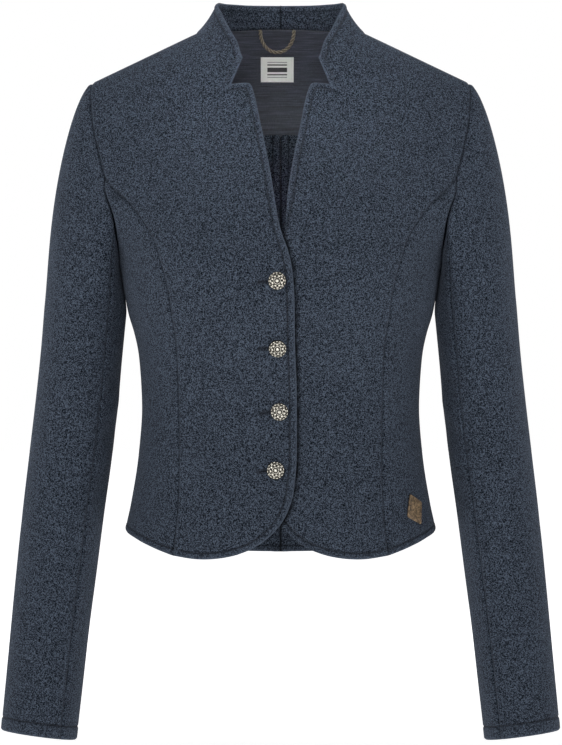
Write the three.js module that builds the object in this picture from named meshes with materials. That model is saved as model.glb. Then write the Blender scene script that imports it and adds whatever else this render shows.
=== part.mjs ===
// Trachten cardigan in boiled wool: short, fitted, worn form, hollow, as it hangs on a wearer.
// Units are millimetres. +X is the wearer's left, -Y the front, +Z up.
// The origin lies midway between the two side neck points, on the line of the shoulder seams.
import * as THREE from "three";

// Driving sizes
const WOOL = 2.3; // thickness of the boiled wool
const SEAM_GAP = 0.3; // air between two pieces at a seam
const LINING = 0.9; // thickness of the back neck lining
const LABEL = 0.5; // thickness of the neck label
const LEATHER = 1.6; // thickness of the leather tab
const UNDERLAP = 3.2; // how far the left front edge lies behind the right one
const V_SHIFT = 4.5; // how far the left front edge lies further out at the foot of the V
const STEP = 18; // length of a triangle's side on the body
const SIDE_NECK = 80.3; // half width of the neck at the shoulder seam
const SHOULDER = 178.6; // half width from shoulder point to shoulder point
const ROUND = 150; // millimetres of cloth that one radian of girth stands for
const PI = Math.PI;

// A table with named columns, one row for each section
const table = (columns, rows) =>
  rows.map((row) => Object.fromEntries(columns.split(" ").map((name, i) => [name, row[i]])));

// Body sections from the shoulder line (along 0) down to below the hem.
// along: way down the cloth; drop: height lost; side: half width; front, back: depth before and
// behind the shoulder line; square: how full the corners are; slope: share of the shoulder's slope
const BODY = table("along drop side front back square slope", [
  [0, 0, 216, 0, 0, 0.2, 1],
  [15, 3, 216, 14.5, 15, 0.2, 1],
  [30, 11, 216, 26, 29, 0.2, 1],
  [45, 22, 215, 36, 42, 0.2, 1],
  [65, 38, 214, 46, 55, 0.22, 1],
  [92, 60, 212, 56, 68, 0.24, 1],
  [122, 88, 208, 67, 80, 0.26, 0.96],
  [152, 116, 201, 79, 88, 0.28, 0.82],
  [187, 149, 182, 95, 94, 0.28, 0.55],
  [220, 182, 164.5, 108, 97, 0.28, 0.28],
  [241, 203, 155.5, 115, 98, 0.28, 0.12],
  [258, 220, 152.5, 119, 98, 0.28, 0.03],
  [281, 243, 148.3, 120, 97, 0.28, 0],
  [304, 266, 144, 116, 95, 0.27, 0],
  [322, 284, 138.6, 110.5, 91.5, 0.26, 0],
  [341, 303, 134.6, 104, 88, 0.26, 0],
  [372, 334, 132, 96, 84, 0.26, 0],
  [400, 362, 131.4, 93, 82, 0.26, 0],
  [445, 407, 135.4, 94.5, 86, 0.26, 0],
  [485, 447, 142, 97.5, 91.5, 0.26, 0],
  [508, 470, 147, 99.5, 94.5, 0.26, 0],
  [560, 522, 156, 104, 99, 0.26, 0],
]);

// Height of the shoulder line over the side neck point, before and behind the shoulder seam
const SHOULDER_LINE = table("x front back", [
  [-30, 29, 36],
  [0, 34, 38],
  [25, 26, 36.5],
  [45, 16.5, 30],
  [62, 8.5, 16.5],
  [80.3, 0, 0],
  [82, -0.8, -0.8],
  [100, -9.3, -9.3],
  [130, -23.6, -23.6],
  [178.6, -46.6, -46.6],
  [216, -64.4, -64.4],
]);

// Soft fullness of the bust on the fronts
const BUST = { x: 76, z: -222, out: 7, wide: 46, high: 50 };

// Edge of a front, on its own half of the body: lapel, V, closure, rounded corner
const FRONT_EDGE = table("x z", [
  [26.5, -57],
  [23.5, -67],
  [17, -99],
  [8.6, -142],
  [2.3, -181],
  [-1.6, -196],
  [-6.3, -209],
  [-10.1, -225],
  [-12.4, -250],
  [-13.2, -296],
  [-14.8, -335],
  [-15.1, -374],
  [-14.7, -404],
  [-13.3, -421],
  [-10.8, -437],
  [-4.2, -454],
  [3.5, -465],
  [14, -475],
  [27.4, -483.7],
]);
const FRONT_HEM = table("x z", [
  [27.4, -483.7],
  [42.5, -489.1],
  [60, -492.2],
  [78, -492.7],
  [99.5, -489.9],
]);
const SIDE_HEM = table("x z", [
  [99.5, -489.9],
  [112, -485.8],
  [127, -480.1],
  [140, -474.4],
  [147.1, -470.2],
]);
const BACK_HEM = table("x z", [
  [147.1, -470.2],
  [135, -476.8],
  [112, -486.2],
  [80, -493.2],
  [40, -496.8],
  [0, -497.8],
]);
const LAPEL_TOP = table("x z", [
  [46, -53.3],
  [38, -52.2],
  [31, -52.4],
  [26.5, -57],
]);
const NECK_FRONT = table("x z", [
  [46, -53.3],
  [61, -37],
  [73, -18],
  [80.3, 0],
]);
const NECK_BACK = table("x z", [
  [80.3, 0],
  [74, 2.2],
  [62, 5.6],
  [42, 9.4],
  [20, 11],
  [0, 11.3],
]);
const PRINCESS = table("x z", [
  [163.3, -141],
  [141, -164],
  [124, -187],
  [113, -211],
  [106, -235],
  [101.6, -258],
  [98, -284],
  [95.6, -314],
  [94.6, -347],
  [94, -384],
  [94.3, -430],
  [96, -460],
  [99.5, -489.9],
]);
const ARMHOLE_UPPER = table("x z", [
  [178.6, -46.6],
  [179.3, -64],
  [176.8, -88],
  [170.3, -117],
  [163.3, -141],
]);
const ARMHOLE_LOWER = table("x z", [
  [163.3, -141],
  [155.6, -178],
  [152.9, -198],
  [152.3, -213],
  [152.5, -220],
]);
const ARMHOLE_BACK = table("x z", [
  [178.6, -46.6],
  [178.5, -68],
  [174.5, -96],
  [167, -128],
  [159.5, -162],
  [154.5, -190],
  [152.5, -210],
  [152.5, -220],
]);

// Top edge of the collar, from its front corner round the side to the centre back
const COLLAR_TOP = table("share x y z", [
  [0, 33.6, -49, -22.5],
  [0.17, 47, -34.5, -1],
  [0.33, 57, -14, 20],
  [0.5, 60.8, 4, 30],
  [0.66, 51, 25, 31.7],
  [0.83, 28, 39, 32],
  [1, 0, 43, 32],
]);
const COLLAR_ROWS = 5;

// Sleeve sections below the cap: centre, half width and half depth
const SLEEVE = table("z x y wide deep", [
  [-264, 185.4, 0, 38.7, 53],
  [-306, 189.3, 2, 38.4, 52.5],
  [-348, 193.5, 4, 38.8, 51.5],
  [-400, 199.5, 3, 38.8, 50],
  [-452, 206, 0, 38.2, 48.5],
  [-505, 211.8, -4, 37.4, 46.5],
  [-555, 217.3, -9, 36.6, 44.5],
  [-610, 222.7, -14, 36, 42.5],
  [-663, 228, -18, 35.4, 41],
]);
const CAP_SWELL = 2.6; // how far the sleeve cap swells out at its fullest
const SLEEVE_TILT = 0.108; // the sleeve's axis leans outwards
const CUFF_TILT = 0.03; // and more so at the cuff
const CUFF_PITCH = 0.08; // the cuff is higher before than behind
const CAP_ROWS = 8;
const SLEEVE_ROWS = 16;
const ELBOW_ROW = 12;
const FRONT_SEAM_AT = 0.36; // where the sleeve seams meet the armhole, as a share of its length
const BACK_SEAM_AT = 0.66;

// Small pieces
const BUTTONS = table("x z", [
  [-3.2, -238.6],
  [-2.7, -299],
  [-1, -357.5],
  [-4.5, -411.4],
]);
const BUTTON_SIDES = 20;
// Half section of a button, from the middle of its foot to the middle of its face
const BUTTON_SECTION = table("r out", [
  [0, 0],
  [2.8, 0],
  [2.8, 1.6],
  [7.1, 2.1],
  [8.2, 2.9],
  [8.2, 3.7],
  [7.4, 4.5],
  [6.6, 4.1],
  [5.1, 5],
  [3, 5.4],
  [1.5, 6],
  [0, 6.2],
]);
const LABEL_SIZE = { x: -2.7, z: -26.7, wide: 32, high: 23, columns: 4, rows: 3 };
const LOOP = { x: -2.8, z: 9, half: 16.5, hang: 19, radius: 1.8, turns: 22, sides: 7 };
const TAB = { x: 124.6, z: -448.8, high: 22.5, wide: 19.5, corner: 1.5, turn: 24 };
const YOKE_END = 2; // the lining runs out along this many steps of the shoulder seam
const YOKE_HEM = table("x z", [
  [113, -15.5],
  [112, -38],
  [98, -61],
  [70, -78],
  [35, -87],
  [0, -89],
]);

// A smooth curve through one column of a table, read at a value of its key column
function along(rows, key, column, at) {
  const up = rows[rows.length - 1][key] > rows[0][key] ? 1 : -1;
  let i = 0;
  while (i < rows.length - 2 && up * (at - rows[i + 1][key]) > 0) i++;
  const slope = (k) => {
    const a = rows[Math.max(k - 1, 0)], b = rows[Math.min(k + 1, rows.length - 1)];
    return (b[column] - a[column]) / (b[key] - a[key]);
  };
  const a = rows[i], b = rows[i + 1], span = b[key] - a[key];
  const t = Math.min(Math.max((at - a[key]) / span, 0), 1);
  const m0 = slope(i) * span, m1 = slope(i + 1) * span;
  return a[column] * (1 + t * t * (2 * t - 3)) + m0 * t * (1 - t) ** 2
    + b[column] * t * t * (3 - 2 * t) + m1 * t * t * (t - 1);
}

const smooth = (from, to, value) => {
  const t = Math.min(Math.max((value - from) / (to - from), 0), 1);
  return t * t * (3 - 2 * t);
};

// Point of the body's outer face at an angle of girth (0 front, 90 side, 180 back) and a way down
const section = {};
function bodySection(way) {
  const key = way.toFixed(4);
  section[key] ??= Object.fromEntries(
    Object.keys(BODY[0]).map((column) => [column, along(BODY, "along", column, way)]),
  );
  return section[key];
}
function rise(x, isFront) {
  return along(SHOULDER_LINE, "x", isFront ? "front" : "back", Math.abs(x));
}
function body(angle, way) {
  const s = bodySection(way), sin = Math.sin(angle), cos = Math.cos(angle);
  const x = s.side * sin, full = 1 + s.square * sin * sin;
  const z = -s.drop + s.slope * rise(x, cos > 0);
  const bust = cos > 0
    ? BUST.out * cos * Math.exp(-(((Math.abs(x) - BUST.x) / BUST.wide) ** 2)
      - ((z - BUST.z) / BUST.high) ** 2)
    : 0;
  return new THREE.Vector3(x, -(cos > 0 ? s.front : s.back) * cos * full - bust, z);
}
const bodyNormal = (angle, way) => {
  const w = Math.max(way, 0.5), e = 0.02;
  const across = body(angle + e / ROUND, w).sub(body(angle - e / ROUND, w));
  return body(angle, w + e).sub(body(angle, w - e)).cross(across).normalize();
};

// Angle and way of the body's point that shows at x, z from the front or from behind
function locate(x, z, isFront) {
  let low = 0, high = BODY[BODY.length - 1].along;
  for (let i = 0; i < 50; i++) {
    const way = (low + high) / 2, s = bodySection(way);
    if (-s.drop + s.slope * rise(x, isFront) > z) low = way;
    else high = way;
  }
  const angle = Math.asin(Math.min(Math.max(x / bodySection(low).side, -1), 1));
  return { a: isFront ? angle : PI - angle, w: low };
}

// A seam or edge: a smooth path through a table of points, cut into equal steps of cloth
function path(rows, isFront, step = STEP) {
  const knots = rows.map((row) => locate(row.x, row.z, isFront));
  const curve = new THREE.CatmullRomCurve3(
    knots.map((k) => new THREE.Vector3(k.a * ROUND, k.w, 0)), false, "centripetal",
  );
  const fine = curve.getPoints(240).map((p) => ({ a: p.x / ROUND, w: Math.max(p.y, 0) }));
  fine[0] = knots[0];
  fine[240] = knots[knots.length - 1];
  const long = [0];
  for (let i = 1; i < fine.length; i++)
    long.push(long[i - 1] + body(fine[i].a, fine[i].w).distanceTo(body(fine[i - 1].a, fine[i - 1].w)));
  const pieces = Math.max(1, Math.round(long[240] / step));
  return Array.from({ length: pieces + 1 }, (_, k) => {
    const want = (long[240] * k) / pieces;
    let i = 0;
    while (i < 239 && long[i + 1] < want) i++;
    const t = k === pieces ? 1 : k === 0 ? 0 : (want - long[i]) / (long[i + 1] - long[i]);
    return { a: fine[i].a + t * (fine[i + 1].a - fine[i].a), w: fine[i].w + t * (fine[i + 1].w - fine[i].w) };
  });
}

// The shared seams of one half of the body
const shoulderX = Array.from({ length: 7 }, (_, i) => SIDE_NECK + ((SHOULDER - SIDE_NECK) * i) / 6);
const shoulderAt = (x, isFront) => {
  const angle = Math.asin(x / BODY[0].side);
  return { a: isFront ? angle : PI - angle, w: 0 };
};
const seam = {
  shoulderFront: shoulderX.map((x) => shoulderAt(x, true)),
  shoulderBack: shoulderX.map((x) => shoulderAt(x, false)),
  edge: path(FRONT_EDGE, true, 15),
  lapel: path(LAPEL_TOP, true, 6),
  neckFront: path(NECK_FRONT, true, 11),
  neckBack: path(NECK_BACK, false, 12),
  frontHem: path(FRONT_HEM, true),
  sideHem: path(SIDE_HEM, true),
  backHem: path(BACK_HEM, false),
  princess: path(PRINCESS, true, STEP),
  armUpper: path(ARMHOLE_UPPER, true, 14),
  armLower: path(ARMHOLE_LOWER, true, 14),
  armBack: path(ARMHOLE_BACK, false, 14),
};
// The shoulder seam's ends are the same points for the front, the back, the neck and the armhole
seam.neckFront[seam.neckFront.length - 1] = seam.shoulderFront[0];
seam.neckBack[0] = seam.shoulderBack[0];
seam.armUpper[0] = seam.shoulderFront[6];
seam.armBack[0] = seam.shoulderBack[6];
const underarm = { a: PI / 2, w: seam.armLower[seam.armLower.length - 1].w };
const sideFoot = { a: PI / 2, w: seam.sideHem[seam.sideHem.length - 1].w };
seam.armLower[seam.armLower.length - 1] = underarm;
seam.armBack[seam.armBack.length - 1] = underarm;
seam.sideHem[seam.sideHem.length - 1] = sideFoot;
seam.backHem[0] = sideFoot;
const sideSteps = Math.round((sideFoot.w - underarm.w) / STEP);
seam.side = Array.from({ length: sideSteps + 1 }, (_, i) => ({
  a: PI / 2, w: underarm.w + ((sideFoot.w - underarm.w) * i) / sideSteps,
}));
const neckWay = seam.neckBack[seam.neckBack.length - 1].w;
const hemWay = seam.backHem[seam.backHem.length - 1].w;
const backSteps = Math.round((hemWay - neckWay) / STEP);
seam.centreBack = Array.from({ length: backSteps + 1 }, (_, i) => ({
  a: PI, w: neckWay + ((hemWay - neckWay) * i) / backSteps,
}));
const yoke = path(YOKE_HEM, false, 14);
const yokeFoot = (p) => Math.abs(p.w - yoke[yoke.length - 1].w);
const yokeRow = seam.centreBack.reduce(
  (best, p, i) => yokeFoot(p) < yokeFoot(seam.centreBack[best]) ? i : best, 0);
seam.yokeHem = [seam.shoulderBack[YOKE_END], ...yoke.slice(1, -1), seam.centreBack[yokeRow]];
seam.yokeShoulder = seam.shoulderBack.slice(0, YOKE_END + 1);
seam.yokeBack = seam.centreBack.slice(0, yokeRow + 1);
seam.neckBack[seam.neckBack.length - 1] = seam.centreBack[0];
seam.backHem[seam.backHem.length - 1] = seam.centreBack[backSteps];

// An outline from seams that follow each other; a name that starts with - runs backwards
function outline(names) {
  const ring = [];
  for (const name of names) {
    const back = name[0] === "-";
    const points = back ? [...seam[name.slice(1)]].reverse() : seam[name];
    ring.push(...points.slice(0, -1));
  }
  return ring;
}

function inside(p, ring) {
  let odd = false;
  for (let i = 0, j = ring.length - 1; i < ring.length; j = i++) {
    const a = ring[i], b = ring[j];
    if (a.y > p.y !== b.y > p.y && p.x < ((b.x - a.x) * (p.y - a.y)) / (b.y - a.y) + a.x) odd = !odd;
  }
  return odd;
}
function distanceToRing(p, ring) {
  let least = Infinity;
  ring.forEach((a, i) => {
    const b = ring[(i + 1) % ring.length], dx = b.x - a.x, dy = b.y - a.y;
    const t = Math.min(Math.max(((p.x - a.x) * dx + (p.y - a.y) * dy) / (dx * dx + dy * dy || 1), 0), 1);
    least = Math.min(least, Math.hypot(p.x - a.x - t * dx, p.y - a.y - t * dy));
  });
  return least;
}

// Triangles of a flat outline filled with an even net of points, as near to equal-sided as can be
function net(ring, step, lines = []) {
  const points = [...ring, ...lines].map((p) => ({ x: p.x, y: p.y }));
  const xs = ring.map((p) => p.x), ys = ring.map((p) => p.y);
  const [x0, x1, y0, y1] = [Math.min(...xs), Math.max(...xs), Math.min(...ys), Math.max(...ys)];
  const high = step * 0.866;
  for (let r = 0, y = y0 + high / 2; y < y1; y += high, r++)
    for (let x = x0 + (r % 2 ? step / 2 : 0); x < x1; x += step) {
      const p = { x: x + 0.01 * Math.sin(7 * r), y: y + 0.01 * Math.cos(5 * x) };
      if (!inside(p, ring) || distanceToRing(p, ring) < 0.6 * step) continue;
      if (lines.every((q) => Math.hypot(q.x - p.x, q.y - p.y) > 0.65 * step)) points.push(p);
    }
  const n = points.length, far = 40 * (x1 - x0 + y1 - y0);
  const all = [...points, { x: x0 - far, y: y0 - far }, { x: x1 + far, y: y0 - far }, { x: x0, y: y1 + far }];
  const made = (i, j, k) => {
    const a = all[i], b = all[j], c = all[k];
    const d = 2 * (a.x * (b.y - c.y) + b.x * (c.y - a.y) + c.x * (a.y - b.y));
    const [qa, qb, qc] = [a, b, c].map((q) => q.x * q.x + q.y * q.y);
    const cx = (qa * (b.y - c.y) + qb * (c.y - a.y) + qc * (a.y - b.y)) / d;
    const cy = (qa * (c.x - b.x) + qb * (a.x - c.x) + qc * (b.x - a.x)) / d;
    return { v: d > 0 ? [i, j, k] : [i, k, j], cx, cy, r: (a.x - cx) ** 2 + (a.y - cy) ** 2 };
  };
  let tris = [made(n, n + 1, n + 2)];
  for (let i = 0; i < n; i++) {
    const p = all[i], edges = new Map(), kept = [];
    for (const t of tris) {
      if ((p.x - t.cx) ** 2 + (p.y - t.cy) ** 2 < t.r * (1 - 1e-12))
        t.v.forEach((a, k) => {
          const b = t.v[(k + 1) % 3];
          if (edges.has(b + "," + a)) edges.delete(b + "," + a);
          else edges.set(a + "," + b, [a, b]);
        });
      else kept.push(t);
    }
    tris = kept;
    for (const [a, b] of edges.values()) tris.push(made(a, b, i));
  }
  const out = tris.map((t) => t.v).filter((v) => v.every((i) => i < n)).filter((v) => {
    const c = { x: 0, y: 0 };
    v.forEach((i) => { c.x += all[i].x / 3; c.y += all[i].y / 3; });
    return inside(c, ring);
  });
  const edges = new Set(out.flatMap(([a, b, c]) => [a + "," + b, b + "," + c, c + "," + a]));
  ring.forEach((_, i) => {
    const j = (i + 1) % ring.length;
    if (!edges.has(i + "," + j) && !edges.has(j + "," + i)) throw new Error("an outline edge is lost");
  });
  return { points, tris: out };
}

// A piece of cloth before it gets its thickness: points and triangles that face out
class Sheet {
  constructor(name, family) {
    Object.assign(this, { name, family, points: [], tris: [], keys: new Map() });
  }
  add(p) {
    const key = [p.x, p.y, p.z].map((c) => Math.round(c * 50)).join();
    if (!this.keys.has(key)) this.keys.set(key, this.points.push(p.clone()) - 1);
    return this.keys.get(key);
  }
  triangle(a, b, c) {
    const [i, j, k] = [this.add(a), this.add(b), this.add(c)];
    if (i !== j && j !== k && k !== i) this.tris.push([i, j, k]);
  }
  // Rows of points that face out when columns run to the left and rows run up
  grid(rows) {
    for (let r = 0; r + 1 < rows.length; r++)
      for (let c = 0; c + 1 < rows[r].length; c++) {
        const [p, q, s, t] = [rows[r][c], rows[r][c + 1], rows[r + 1][c + 1], rows[r + 1][c]];
        if (p.distanceTo(s) < q.distanceTo(t)) { this.triangle(p, q, s); this.triangle(p, s, t); }
        else { this.triangle(p, q, t); this.triangle(q, s, t); }
      }
    return this;
  }
  mirrored(name) {
    const other = new Sheet(name, this.family);
    const flip = (p) => new THREE.Vector3(-p.x, p.y, p.z);
    for (const [a, b, c] of this.tris)
      other.triangle(flip(this.points[a]), flip(this.points[c]), flip(this.points[b]));
    return other;
  }
  normals() {
    const out = this.points.map(() => new THREE.Vector3());
    for (const t of this.tris) {
      const [a, b, c] = t.map((i) => this.points[i]);
      const n = b.clone().sub(a).cross(c.clone().sub(a));
      t.forEach((i) => out[i].add(n));
    }
    return out.map((n) => n.normalize());
  }
}

function bodyPanel(name, names, line = []) {
  const ring = outline(names).map((p) => ({ x: p.a * ROUND, y: p.w }));
  const made = net(ring, STEP, line.map((p) => ({ x: p.a * ROUND, y: p.w })));
  const sheet = new Sheet(name, "body");
  const at = made.points.map((p) => body(p.x / ROUND, p.y));
  for (const [a, b, c] of made.tris) sheet.triangle(at[a], at[c], at[b]);
  sheet.flat = made;
  return sheet;
}

// Half of the grown-on collar: it stands on the neck line and leans in to its top edge
const neckPoints = [...seam.neckFront, ...seam.neckBack.slice(1)].map((p) => body(p.a, p.w));
const frontColumns = seam.neckFront.length - 1, backColumns = seam.neckBack.length - 1;
const neckShare = (i) =>
  i <= frontColumns ? (0.5 * i) / frontColumns : 0.5 + (0.5 * (i - frontColumns)) / backColumns;
function collar(share, up, foot) {
  const top = new THREE.Vector3(
    along(COLLAR_TOP, "share", "x", share), along(COLLAR_TOP, "share", "y", share),
    along(COLLAR_TOP, "share", "z", share),
  );
  const corner = 1 - 0.16 * (1 - smooth(0, 0.1, share)); // rounds the front corner
  const t = up * corner;
  const line = foot.clone().lerp(top, t);
  // the foot springs from the cloth below in a soft curve
  const hollow = 2.2 * Math.sin(PI * Math.min(t, 1)) * smooth(0, 0.2, share);
  const outwards = new THREE.Vector3(line.x, line.y, 0).normalize();
  return line.addScaledVector(outwards, -hollow);
}
function collarRows() {
  return Array.from({ length: COLLAR_ROWS + 1 }, (_, r) =>
    neckPoints.map((foot, i) => collar(neckShare(i), r / COLLAR_ROWS, foot)),
  );
}

const front = bodyPanel("front", [
  "neckFront", "shoulderFront", "armUpper", "princess", "-frontHem", "-edge", "-lapel",
]);
front.grid(collarRows());
const sideFront = bodyPanel("side_front", ["armLower", "side", "-sideHem", "-princess"]);
const back = bodyPanel(
  "back", ["neckBack", "centreBack", "-backHem", "-side", "-armBack", "-shoulderBack"],
  seam.yokeHem.slice(1, -1),
);

// Sleeve: every column starts on a point of the armhole and runs over the cap to the cuff
const armLoop = [...seam.armUpper, ...seam.armLower.slice(1), ...[...seam.armBack].reverse().slice(1, -1)]
  .map((p) => body(p.a, p.w));
const armWay = [0];
armLoop.forEach((p, i) => armWay.push(armWay[i] + p.distanceTo(armLoop[(i + 1) % armLoop.length])));
const underIndex = seam.armUpper.length + seam.armLower.length - 2;
const armTurn = (i) =>
  i <= underIndex
    ? (PI * armWay[i]) / armWay[underIndex]
    : PI + (PI * (armWay[i] - armWay[underIndex])) / (armWay[armLoop.length] - armWay[underIndex]);
const SLEEVE_TOP = SLEEVE[0].z, SLEEVE_END = SLEEVE[SLEEVE.length - 1].z;
function sleeveRing(z, turn) {
  const [x, y, wide, deep] = ["x", "y", "wide", "deep"].map((c) => along(SLEEVE, "z", c, z));
  const out = wide * Math.cos(turn), ahead = deep * Math.sin(turn) * (1 + 0.06 * Math.cos(turn) ** 2);
  const low = smooth(SLEEVE_TOP, SLEEVE_END, z);
  return new THREE.Vector3(
    x + out, y - ahead, z + out * (SLEEVE_TILT + CUFF_TILT * low) + ahead * CUFF_PITCH * low,
  );
}
function sleevePoint(i, row) {
  const k = (i + armLoop.length) % armLoop.length, turn = armTurn(k);
  if (row >= CAP_ROWS)
    return sleeveRing(SLEEVE_TOP + ((SLEEVE_END - SLEEVE_TOP) * (row - CAP_ROWS)) / SLEEVE_ROWS, turn);
  if (row === 0) return armLoop[k].clone();
  const start = armLoop[k], end = sleeveRing(SLEEVE_TOP, turn), long = start.distanceTo(end);
  const t = (row / CAP_ROWS) ** 1.25, out = (1 + Math.cos(turn)) / 2;
  const away = new THREE.Vector3(0.95 * out, -0.12 * Math.sin(turn), -0.42 - 0.58 * (1 - out))
    .normalize().multiplyScalar(long * (0.28 + 0.5 * (1 - out) + 0.08 * out ** 3));
  const down = new THREE.Vector3(SLEEVE_TILT, 0, -1).multiplyScalar(long * (0.95 - 0.1 * out));
  const cap = start.clone().multiplyScalar(1 + t * t * (2 * t - 3))
    .addScaledVector(away, t * (1 - t) ** 2)
    .addScaledVector(end, t * t * (3 - 2 * t)).addScaledVector(down, t * t * (t - 1));
  cap.x += CAP_SWELL * out ** 2 * Math.sin(PI * t ** 1.3) ** 2;
  return cap;
}
const seamIndex = (share) => Math.round(share * armLoop.length);
const frontSeam = seamIndex(FRONT_SEAM_AT), backSeam = seamIndex(BACK_SEAM_AT);
// Each sleeve piece is parted across above the elbow, so that each part is a straight shell
function sleevePiece(name, from, to) {
  const strip = (high, low) => {
    const rows = [];
    for (let r = low; r >= high; r--) {
      const row = [];
      for (let i = from; i <= to; i++) row.push(sleevePoint(i, r));
      rows.push(row.reverse());
    }
    return rows;
  };
  return [
    new Sheet(name + "_upper", "sleeve").grid(strip(0, ELBOW_ROW)),
    new Sheet(name + "_lower", "sleeve").grid(strip(ELBOW_ROW, CAP_ROWS + SLEEVE_ROWS)),
  ];
}
const sleeves = [
  ...sleevePiece("sleeve_top", backSeam - armLoop.length, frontSeam),
  ...sleevePiece("sleeve_under", frontSeam, backSeam),
];

// The left front lies behind the right one where they overlap, and its V ends a little lower
const frontRight = front.mirrored("front_right");
const frontLeft = new Sheet("front_left", "body");
{
  const normals = front.normals();
  const moved = front.points.map((p, i) => {
    const share = smooth(44, 20, p.x) * smooth(-150, -186, p.z), out = p.clone();
    out.x += V_SHIFT * smooth(40, 5, p.x) * Math.exp(-(((p.z + 203) / 28) ** 2));
    return out.addScaledVector(normals[i], -UNDERLAP * share);
  });
  for (const [a, b, c] of front.tris) frontLeft.triangle(moved[a], moved[b], moved[c]);
}

const sheets = [
  frontRight, frontLeft,
  sideFront.mirrored("side_front_right"), Object.assign(sideFront, { name: "side_front_left" }),
  back.mirrored("back_right"), Object.assign(back, { name: "back_left" }),
  ...sleeves.map((sheet) => sheet.mirrored(sheet.name + "_right")),
  ...sleeves.map((sheet) => Object.assign(sheet, { name: sheet.name + "_left" })),
];

// Pieces that meet in a seam share one direction of thickness there, so that their edges are mitred
const keyOf = (p) => [p.x, p.y, p.z].map((c) => Math.round(c * 20)).join();
const meeting = new Map();
for (const sheet of sheets) {
  const own = sheet.normals();
  sheet.points.forEach((p, i) => {
    const key = keyOf(p);
    if (!meeting.has(key)) meeting.set(key, { body: [], sleeve: [] });
    meeting.get(key)[sheet.family].push(own[i]);
  });
}
const meanOf = (list) => list.reduce((s, n) => s.add(n), new THREE.Vector3()).normalize();
function inwards(p, family) {
  const at = meeting.get(keyOf(p)), own = meanOf(at[family]);
  const other = family === "body" ? at.sleeve : at.body;
  const joined = other.length > 0 && own.dot(meanOf(other)) > 0.25;
  const all = joined ? [...at.body, ...at.sleeve] : at[family];
  const shared = meanOf(all);
  const share = all.reduce((least, n) => Math.min(least, n.dot(shared)), 1);
  return shared.multiplyScalar(-1 / Math.max(share, 0.6));
}

// Closes a sheet into a solid of even thickness and pulls its edges back from the seams
function closed(points, tris, inner, gap) {
  const edges = new Map();
  for (const [a, b, c] of tris)
    for (const [p, q] of [[a, b], [b, c], [c, a]])
      if (!edges.delete(q + "," + p)) edges.set(p + "," + q, [p, q]);
  const shift = points.map(() => []);
  for (const t of tris)
    t.forEach((p, k) => {
      const q = t[(k + 1) % 3];
      if (!edges.has(p + "," + q)) return;
      const [a, b, c] = [points[p], points[q], points[t[(k + 2) % 3]]];
      const run = b.clone().sub(a).normalize(), into = c.clone().sub(a);
      into.addScaledVector(run, -into.dot(run)).normalize();
      shift[p].push(into);
      shift[q].push(into);
    });
  const moved = points.map((p, i) => {
    if (!gap || !shift[i].length) return p.clone();
    const sum = shift[i].reduce((s, v) => s.add(v), new THREE.Vector3());
    return p.clone().addScaledVector(sum, gap / 2 / Math.max(1 + shift[i][0].dot(shift[i][1]), 0.5));
  });
  const offset = points.length;
  const low = moved.map((p, i) => p.clone().add(inner[i]));
  const faces = [...tris, ...tris.map(([a, b, c]) => [c + offset, b + offset, a + offset])];
  for (const [a, b] of edges.values()) faces.push([b, a, a + offset], [b, a + offset, b + offset]);
  const geometry = new THREE.BufferGeometry();
  const numbers = [...moved, ...low].flatMap((p) => p.toArray());
  geometry.setAttribute("position", new THREE.Float32BufferAttribute(numbers, 3));
  geometry.setIndex(faces.flat());
  geometry.computeVertexNormals();
  return geometry;
}

// Materials
const finish = (name, color, roughness, metalness = 0) =>
  Object.assign(new THREE.MeshStandardMaterial({ color, roughness, metalness }), { name });
const materials = {
  wool: () => finish("boiled_wool", 0x36405a, 0.95),
  lining: () => finish("lining", 0x282a33, 0.8),
  cord: () => finish("cord", 0x6e6450, 0.8),
  label: () => finish("label", 0xdedcd4, 0.85),
  leather: () => finish("leather", 0x7d5f41, 0.6),
  metal: () => finish("antique_silver", 0xb8b4a4, 0.4, 0.9),
};
const group = new THREE.Group();
group.name = "trachten_cardigan";
const put = (name, geometry, material) => {
  const mesh = new THREE.Mesh(geometry, materials[material]());
  mesh.name = name;
  group.add(mesh);
};

for (const sheet of sheets)
  put(sheet.name, closed(sheet.points, sheet.tris,
    sheet.points.map((p) => inwards(p, sheet.family).multiplyScalar(WOOL)), SEAM_GAP), "wool");

// A small piece on the body: an outline in angle and way, moved off the cloth along its normal
function onBody(ring, step, off, thick) {
  const made = net(ring.map((p) => ({ x: p.a * ROUND, y: p.w })), step);
  const out = made.points.map((p) => {
    const at = { a: p.x / ROUND, w: p.y };
    return { p: body(at.a, at.w), n: bodyNormal(at.a, at.w) };
  });
  const face = out.map(({ p, n }) => p.clone().addScaledVector(n, off));
  const inner = out.map(({ n }) => n.clone().multiplyScalar(-thick));
  return closed(face, made.tris.map(([a, b, c]) => [a, c, b]), inner, 0);
}

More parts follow.
